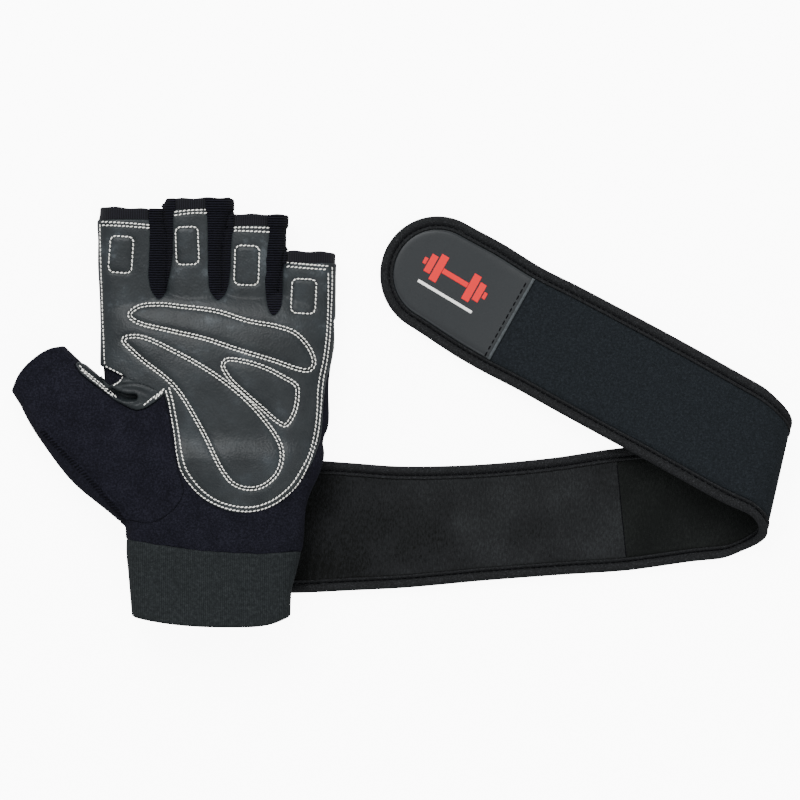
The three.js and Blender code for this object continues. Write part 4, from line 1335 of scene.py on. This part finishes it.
# %% Overlock seam of the thumb
thread_piece("overlock_thread", [overlock_band], black_thread, seed=34, pitch=1.5, length=3.0, width=0.5, lean=68)

# %% [markdown]
# The strap is drawn as frames along its length: where its middle runs, which way is across, and which
# way is out. It leaves from under the wrist, runs flat to the right, turns over in an open loop and
# comes back at an angle. Any point on it is then found from the length, the distance across and the
# height above its middle layer.

# %% Run of the strap
STRAP_REACH = 229.2 * MM
STRAP_WIDTH = 51 * MM
STRAP_THICK = 3.2 * MM
BINDING_THICK = 4 * MM
BINDING_WIDTH = 5.4 * MM
LOOP_RADIUS = 9.4 * MM
FOLD_LEAN, FOLD_CLIMB, FOLD_STEPS = 77.2, 18.8 * MM, 36
RETURN_HEADING, RETURN_LENGTH = 150.6, 158.4 * MM
PATCH_LENGTH = 37.4 * MM
HOOK_THICK, HOOK_LENGTH = 1.2 * MM, 62 * MM
SEAM_PLACE = 0.764
GAP = 0.3 * MM
# x, y and width, as shares of the strap's reach and width
STRAP_RUN = [
    (-0.094, -0.238, 1.13), (0.159, -0.2378, 1.13), (0.25, -0.2387, 1.085), (0.347, -0.2395, 1.033),
    (0.497, -0.2311, 0.986), (0.647, -0.2188, 0.996), (0.76, -0.2067, 1.038), (0.91, -0.1895, 1.015),
    (1.005, -0.1797, 1.03),
]
# share of the way back, and of the loop's height that is left
STRAP_FALL = [
    (0, 1), (0.1, 0.95), (0.22, 0.82), (0.36, 0.6), (0.5, 0.36), (0.62, 0.18), (0.74, 0.06), (0.86, 0),
    (1, 0), (1.2, 0),
]
# share of the way back, how far the middle strays to the upper side in mm, and share of the width
STRAP_BOW = [
    (0, 0, 1.01), (0.1, -0.7, 1.02), (0.267, -0.7, 1.0235), (0.393, -0.9, 1.027), (0.519, -1.2, 1.0245),
    (0.645, -1.45, 1.016), (0.707, -1.85, 1.012), (0.77, -2.2, 1.012), (0.833, -1.95, 1.02),
    (0.896, -1.5, 1.018), (1, -1.1, 0.99), (1.2, -0.6, 0.98),
]


def heading(angle):
    return np.array([math.cos(math.radians(angle)), math.sin(math.radians(angle)), 0.0])


def ease(share, low, high):
    t = min(max((share - low) / (high - low), 0), 1)
    return t * t * (3 - 2 * t)


# the rows are 1 mm apart: how many are averaged to each side, and how quickly their weight falls
EASE_REACH = 12
EASE_SPREAD = 4.5
EASE_FADE = 14 * MM


def eased_bends(length, table, start, end):
    """The table with its corners rounded off between two lengths, as thick foam rounds them."""
    weight = np.exp(-((np.arange(-EASE_REACH, EASE_REACH + 1) / EASE_SPREAD) ** 2) / 2)
    weight /= weight.sum()
    wide_table = np.pad(table, ((EASE_REACH, EASE_REACH), (0, 0)), mode="edge")
    smooth = np.stack([np.convolve(column, weight, mode="valid") for column in wide_table.T], axis=1)
    share = np.clip(np.minimum(length - start + EASE_FADE, end + EASE_FADE - length) / EASE_FADE, 0, 1)[:, None]
    share = share * share * (3 - 2 * share)
    return table * (1 - share) + smooth * share


def strap_frames():
    middle = BINDING_THICK / 2
    places = curve_through([(x, y) for x, y, w in STRAP_RUN], 18) * STRAP_REACH
    widths = curve_through([(x, w) for x, y, w in STRAP_RUN], 18)[:, 1] * STRAP_WIDTH
    ways = np.gradient(places, axis=0)
    centres, acrosses, headings, wide = [], [], [], []
    for i, (place, way, width) in enumerate(zip(places, ways, widths)):
        angle = math.degrees(math.atan2(way[1], way[0]))
        lean = angle + 90 + (FOLD_LEAN - angle - 90) * ease(i / (len(places) - 1), 0.72, 1)
        centres.append(np.array([*place, middle]))
        acrosses.append(heading(lean))
        headings.append(heading(angle))
        wide.append(width)
    fold_start = len(centres)
    start, axis, out = centres[-1], heading(FOLD_LEAN), heading(FOLD_LEAN - 90)
    for i in range(1, FOLD_STEPS + 1):
        turn = math.pi * i / FOLD_STEPS
        centre = start + out * LOOP_RADIUS * math.sin(turn) + axis * FOLD_CLIMB * i / FOLD_STEPS
        centres.append(np.array([centre[0], centre[1], middle + LOOP_RADIUS * (1 - math.cos(turn))]))
        acrosses.append(axis)
        headings.append(out)
        wide.append(STRAP_WIDTH)
    fold_end = len(centres)
    turned, rest = centres[-1], STRAP_THICK / 2 + GAP + HOOK_THICK
    fall, bow = curve_through(STRAP_FALL, 14), curve_through(STRAP_BOW, 14)
    for along, rise in fall[1:]:
        stray, share = (np.interp(along, bow[:, 0], bow[:, k]) for k in (1, 2))
        centre = turned + heading(RETURN_HEADING) * along * RETURN_LENGTH
        centre = centre + heading(RETURN_HEADING - 90) * stray * MM
        centres.append(np.array([centre[0], centre[1], rest + (turned[2] - rest) * rise]))
        acrosses.append(heading(FOLD_LEAN + (RETURN_HEADING - 90 - FOLD_LEAN) * ease(along, 0, 0.25)))
        headings.append(heading(RETURN_HEADING - 180))
        wide.append(STRAP_WIDTH * share)
    table = np.hstack([centres, acrosses, headings, np.array(wide)[:, None]])
    length = np.concatenate([[0], np.cumsum(np.linalg.norm(np.diff(table[:, :3], axis=0), axis=1))])
    even = np.arange(0, length[-1], 1 * MM)
    table = np.stack([np.interp(even, length, column) for column in table.T], axis=1)
    table = eased_bends(even, table, length[fold_start] - 8 * MM, length[fold_end] + 14 * MM)
    centres, acrosses, headings, wide = table[:, :3], table[:, 3:6], table[:, 6:9], table[:, 9]
    length = np.concatenate([[0], np.cumsum(np.linalg.norm(np.diff(centres, axis=0), axis=1))])
    acrosses = acrosses / np.linalg.norm(acrosses, axis=1)[:, None]
    normal = np.cross(acrosses, np.gradient(centres, axis=0))
    normal /= np.linalg.norm(normal, axis=1)[:, None]
    facing = np.abs(np.cross(acrosses, headings)[:, 2]) / np.linalg.norm(headings[:, :2], axis=1).clip(0.2)
    stretch = 1 / facing.clip(0.8)
    along = (centres - turned) @ heading(RETURN_HEADING)
    back = length > even[-1] * 0.7
    tip = np.interp(RETURN_LENGTH, along[back], length[back])
    out = slice(0, int(np.argmax(centres[:, 0])))
    cross = np.interp(SEAM_PLACE * STRAP_REACH, centres[out, 0], length[out])
    return length, centres, acrosses, normal, stretch, wide, tip, cross


LENGTH, CENTRES, ACROSS, OUTWARD, STRETCH, WIDE, TIP_START, CROSS_SEAM = strap_frames()


def strap_point(s, t, n):
    """Points from lengths, distances across and heights; the three may be arrays of one shape."""
    s, t, n = np.broadcast_arrays(s, t, n)

    def pick(table):
        return np.stack([np.interp(s, LENGTH, table[:, k]) for k in range(3)], axis=-1)

    out = pick(OUTWARD)
    out /= np.linalg.norm(out, axis=-1)[..., None]
    return pick(CENTRES) + pick(ACROSS) * (t * np.interp(s, LENGTH, STRETCH))[..., None] + out * n[..., None]


def half_width(s):
    return np.interp(s, LENGTH, WIDE) / 2


print("strap length, mm:", round((TIP_START + STRAP_WIDTH / 2) / MM, 1), "seam at", round(CROSS_SEAM / MM, 1))

# %% [markdown]
# The two lengths of neoprene are closed ribbons: a grid over and a grid under, joined at the edges.
# The lying part is puckered by its binding near the cuff, so short wrinkles cross it there and fade
# towards the middle.

# %% Neoprene of the strap
# length in mm where a short fold starts at the lower edge, how far across it reaches, and its height
WRIST_FOLDS = [(64.5, -4, 0.7), (68.2, -7, 1.1), (70.9, -9, 0.9), (75.2, -8, 1.3), (79.5, -14, 0.6)]


def puckers(s, t, half):
    """Small wrinkles along the bound edges."""
    edge = np.exp(-(half - np.abs(t)) / (5 * MM))
    wave = np.sin(2 * np.pi * s / (6.3 * MM) + 1.3 * np.sin(s / (11 * MM)))
    wave = wave + 0.6 * np.sin(2 * np.pi * s / (10.7 * MM) + 2)
    near_wrist = 0.4 + 1.2 * np.exp(-(((s - 62 * MM) / (16 * MM)) ** 2))
    folds = sum(height * MM * np.exp(-(((s - place * MM - 0.12 * t) / (0.9 * MM)) ** 2))
                * np.clip((high * MM - t) / (4 * MM), 0, 1) for place, high, height in WRIST_FOLDS)
    return 0.14 * MM * wave * edge * near_wrist - folds


def ribbon(name, start, end, inset, low, high, face_materials, columns=44, rows_mm=1.2, dome=0.25,
           shoulder=2.2):
    """A closed layer between two lengths; where it reaches the tip it ends in an arc.

    Its edges lie `inset` inside the strap's and fall by `dome` mm over the last `shoulder` mm.
    """
    rounded_end = end > TIP_START
    radius = half_width(TIP_START) - inset
    count = max(8, int((min(end, TIP_START) - start) / (rows_mm * MM)))
    near_end = np.array([0.15, 0.4, 0.8]) * MM
    steps = np.linspace(start, min(end, TIP_START), count)
    steps = np.concatenate([steps[:1], start + near_end, steps[1:-1], steps[-1] - near_end[::-1], steps[-1:]])
    stations = [(s, None) for s in np.unique(steps)]
    if rounded_end:
        stations += [(TIP_START, angle) for angle in np.linspace(0, math.pi / 2, 26)[1:]]
    across = np.linspace(-1, 1, columns)
    tops, lows = [], []
    for s, angle in stations:
        if angle is None:
            half, at = half_width(s) - inset, s
        else:
            half, at = max(radius * math.cos(angle), 0.05 * MM), TIP_START + radius * math.sin(angle)
        t = across * half
        pucker = puckers(at, t, half + inset) if at < LENGTH[-1] else 0
        from_edge = np.minimum(half - np.abs(t), min(at - start, end - at) + 0.1 * MM)
        if rounded_end:
            from_edge = np.minimum(from_edge, radius - np.hypot(max(at - TIP_START, 0), t))
        edge = np.clip(from_edge / (shoulder * MM), 0, 1)
        swell = dome * MM * (np.sqrt(1 - (1 - edge) ** 2) - 1)
        tops.append(strap_point(at, t, high + swell + pucker))
        lows.append(strap_point(at, t, low - swell + pucker))
    n = len(stations)
    points = np.vstack(tops + lows)
    points[:, 2] = np.maximum(points[:, 2], 0.05 * MM)

    def index(layer, r, c):
        return layer * n * columns + r * columns + c

    faces, kinds = [], []
    for r in range(n - 1):
        for c in range(columns - 1):
            faces.append((index(0, r, c), index(0, r + 1, c), index(0, r + 1, c + 1), index(0, r, c + 1)))
            faces.append((index(1, r, c), index(1, r, c + 1), index(1, r + 1, c + 1), index(1, r + 1, c)))
            kinds += [0, 1]
    for r in range(n - 1):
        faces.append((index(0, r, 0), index(1, r, 0), index(1, r + 1, 0), index(0, r + 1, 0)))
        last = columns - 1
        faces.append((index(0, r, last), index(0, r + 1, last), index(1, r + 1, last), index(1, r, last)))
        kinds += [0, 0]
    for c in range(columns - 1):
        faces.append((index(0, 0, c), index(0, 0, c + 1), index(1, 0, c + 1), index(1, 0, c)))
        faces.append((index(0, n - 1, c), index(1, n - 1, c), index(1, n - 1, c + 1), index(0, n - 1, c + 1)))
        kinds += [0, 0]
    piece = new_object(name, points, faces, *face_materials)
    if len(face_materials) > 1:
        piece.data.polygons.foreach_set("material_index", kinds)
    face_outwards(piece)
    piece.data.shade_smooth()
    return piece


def strap_piece(piece, node):
    stand_for(piece, node)
    declare(piece)


BAND_INSET = BINDING_WIDTH - 0.2 * MM
HALF = STRAP_THICK / 2
PAST_SEAM = 0.05 * MM
base = ribbon("strap_base_neoprene", 0, CROSS_SEAM + PAST_SEAM, BAND_INSET, -HALF, HALF, (loop_cloth, jersey),
              dome=0.8, shoulder=1.5, rows_mm=0.8)
# the band's inner face takes the darker jersey copy, with the returning strap's shadow painted in
band = ribbon("strap_band_neoprene", CROSS_SEAM - PAST_SEAM, TIP_START + STRAP_WIDTH, BAND_INSET, -HALF, HALF,
              (loop_cloth, shaded_jersey_copy), dome=0.8, shoulder=1.5)
strap_piece(base, "strap_base")
strap_piece(band, "strap_band")

# %% [markdown]
# Binding tape is folded round the raw edge and sewn through near its inner edge. Its section is swept
# along one side, round the tip and back: round outside, flat above and below, with a sewn dip before
# the inner lip.

# %% Binding of the strap
def binding_profile():
    """Distance in from the edge and height, round the tape once."""
    high = BINDING_THICK / 2
    top = [(0.0, 0.0), (0.12, 0.8), (0.45, 1.4), (1.0, 1.85), (1.8, 2.05), (2.6, 1.92), (3.2, 1.5),
           (3.6, 0.95), (3.9, 0.6), (4.15, 0.6), (4.35, 0.95), (4.6, 1.6), (4.9, 2.0), (5.2, 2.05), (5.5, 1.8),
           (5.6, 1.2)]
    top = [(a * MM, h / 2.0 * high) for a, h in top]
    return np.array(top + [(a, -h) for a, h in top[:0:-1]])


def sweep_binding():
    profile = binding_profile()
    a, h = profile.T
    stations = []
    straight = np.arange(0, TIP_START, 1.3 * MM)
    for s in straight:
        stations.append((s, 1, None))
    for angle in np.linspace(90, -90, 61):
        stations.append((TIP_START, 0, math.radians(angle)))
    for s in straight[::-1]:
        stations.append((s, -1, None))
    rings = []
    for s, side, angle in stations:
        if angle is None:
            half = half_width(s)
            lift = puckers(s, half, half) * np.clip(a / (2 * MM), 0, 1)
            rings.append(strap_point(s, side * (half - a + 0.4 * lift), h + lift))
        else:
            radius = half_width(TIP_START) - a
            lift = puckers(TIP_START + 26 * MM * math.cos(angle), STRAP_WIDTH / 2, STRAP_WIDTH / 2)
            s, t = TIP_START + radius * math.cos(angle), radius * math.sin(angle)
            rings.append(strap_point(s, t, h + lift))
    for ring in rings:
        ring[:, 2] = np.maximum(ring[:, 2], 0)
    return rings


binding = closed_loft("strap_binding_tape", sweep_binding())
binding.data.materials.append(tape)
face_outwards(binding)
binding.data.shade_smooth()
strap_piece(binding, "strap_binding")

# %% [markdown]
# Black stitches sit in that dip on both faces of the strap, and a seam crosses it where its two
# lengths meet.

# %% Stitches of the strap
BESIDE = 0.2 * MM


def beads_on_strap(name, places, length, width, seed):
    """Stitches at places (s, t, n, way), with the way in s and t."""
    dice = np.random.default_rng(seed)
    points, faces = [], []
    for s, t, n, (ds, dt) in places:
        middle = strap_point(s, t, n)
        ds, dt = ds * BESIDE, dt * BESIDE
        way = strap_point(s + ds, t + dt, n) - strap_point(s - ds, t - dt, n)
        way /= np.linalg.norm(way)
        out = strap_point(s, t, n + 0.001 * np.sign(n)) - middle
        out /= np.linalg.norm(out)
        side = np.cross(out, way)
        basis = np.array([way, side / np.linalg.norm(side), out])
        size = np.array([length * dice.uniform(0.92, 1.08), width, width * 0.8]) * MM
        start = len(points) * len(bead_points)
        points.append(middle + (bead_points * size) @ basis)
        faces += [[start + i for i in f] for f in bead_faces]
    piece = new_object(name, np.vstack(points), faces, black_thread)
    piece.data.shade_smooth()
    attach(piece, "root")
    print(name, len(places), "stitches")


# the dip in the tape: how far in from the edge, and its height over the middle layer
DIP_IN, DIP_HEIGHT = 4.05 * MM, 0.72 * MM
places = []
for face in (1, -1):
    for s in np.arange(1 * MM, TIP_START, 2.6 * MM):
        for side in (1, -1):
            places.append((s, side * (half_width(s) - DIP_IN), face * DIP_HEIGHT, (1, 0)))
    for angle in np.radians(np.arange(-86, 87, 7)):
        radius = half_width(TIP_START) - DIP_IN
        places.append((TIP_START + radius * math.cos(angle), radius * math.sin(angle), face * DIP_HEIGHT,
                       (-math.sin(angle), math.cos(angle))))
beads_on_strap("stitches_strap_binding", places, 2.0, 0.45, 41)

seam_places = [(CROSS_SEAM, t, face * (HALF - 0.3 * MM), (0, 1)) for face in (1, -1)
               for t in np.arange(-19 * MM, 19.1 * MM, 2.2 * MM)]
beads_on_strap("stitches_strap_seam", seam_places, 2.3, 0.5, 42)

# %% [markdown]
# The patch on the tip is vinyl, its straight edge turned under and sewn with black thread.
# Underneath, the same end of the strap carries the hook tape that grips the brushed face.

# %% Tip patch and hook tape
patch_inset = BINDING_WIDTH + 0.5 * MM
PATCH_TOP = HALF + 0.5 * MM
patch_start = TIP_START - PATCH_LENGTH
PATCH_FOOT = HALF - 0.2 * MM
patch = ribbon("tip_patch_vinyl", patch_start, TIP_START + STRAP_WIDTH, patch_inset, PATCH_FOOT, PATCH_TOP,
               (vinyl,), columns=40, dome=0.45, shoulder=2.6)
edge = ribbon("tip_patch_edge", patch_start - 0.2 * MM, patch_start + 1.1 * MM, patch_inset, PATCH_FOOT,
              PATCH_TOP + 0.3 * MM, (vinyl_edge,), columns=40, rows_mm=0.18, dome=0.5, shoulder=0.7)
only(patch, edge)
bpy.ops.object.join()
strap_piece(patch, "strap_tip_patch")
hook = ribbon("hook_tape", TIP_START - HOOK_LENGTH, TIP_START + STRAP_WIDTH, BINDING_WIDTH + 0.2 * MM,
              -HALF - GAP - HOOK_THICK, -HALF - 0.1 * MM, (hook_tape,), columns=30, dome=0.2)
strap_piece(hook, "strap_hook_pad")
edge_places = [(patch_start + 2.5 * MM, t, PATCH_TOP - 0.02 * MM, (0, 1))
               for t in np.arange(-18.5 * MM, 18.6 * MM, 3.1 * MM)]
beads_on_strap("stitches_tip_patch", edge_places, 2.3, 0.65, 43)

# %% [markdown]
# The mark is a thick rubbery print. Bars are cut from cubes with bevelled edges, laid out as a
# dumbbell and a rule below it, and then wrapped onto the strap with the same mapping as everything
# else on it.

# %% Printed mark
# middle along, middle across, length, width, in mm; along runs from the tip towards the fold
DUMBBELL = [
    (0, 0, 12.5, 2.3), (-8.2, 0, 3.5, 12.4), (8.2, 0, 3.5, 12.4), (-12.1, 0, 3.0, 8.4), (12.1, 0, 3.0, 8.4),
    (-14.9, 0, 1.6, 3.0), (14.9, 0, 1.6, 3.0),
]
RULE = [(0, -9.0, 27.0, 1.3)]
MARK_PLACE = (7.1, 2.6)


CORNER = 0.22
INK_THICK = 0.6


def printed(name, bars, ink):
    cubes = []
    for along, across, length, width in bars:
        bpy.ops.mesh.primitive_cube_add(size=1, location=(along, across, 0))
        bar = bpy.context.active_object
        bar.scale = (length, width, INK_THICK)
        bpy.ops.object.transform_apply(location=True, rotation=True, scale=True)
        apply_modifier(bar, "BEVEL", width=CORNER, segments=3, limit_method="NONE")
        cubes.append(bar)
    only(*cubes)
    if len(cubes) > 1:
        bpy.ops.object.join()
    mark = bpy.context.view_layer.objects.active
    mark.name = mark.data.name = name
    at = coordinates(mark.data)
    placed = strap_point(TIP_START - (MARK_PLACE[0] + at[:, 0]) * MM, (MARK_PLACE[1] + at[:, 1]) * MM,
                         PATCH_TOP + at[:, 2] * 0.6 * MM)
    mark.data.vertices.foreach_set("co", placed.ravel())
    mark.data.update()
    face_outwards(mark)
    mark.data.materials.clear()
    mark.data.materials.append(ink)
    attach(mark, "root")
    print(name, len(mark.data.polygons), "faces")


printed("printed_dumbbell", DUMBBELL, red_ink)
printed("printed_rule", RULE, white_ink)

# %% [markdown]
# The form that the panels were cut from isn't a piece, so it goes. Before that, the faces of the shown
# meshes are counted and printed.

# %% Finish
mesh_total = sum(len(o.data.polygons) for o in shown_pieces() if o.type == "MESH")
print("faces in all:", mesh_total)
bpy.data.objects.remove(hand)
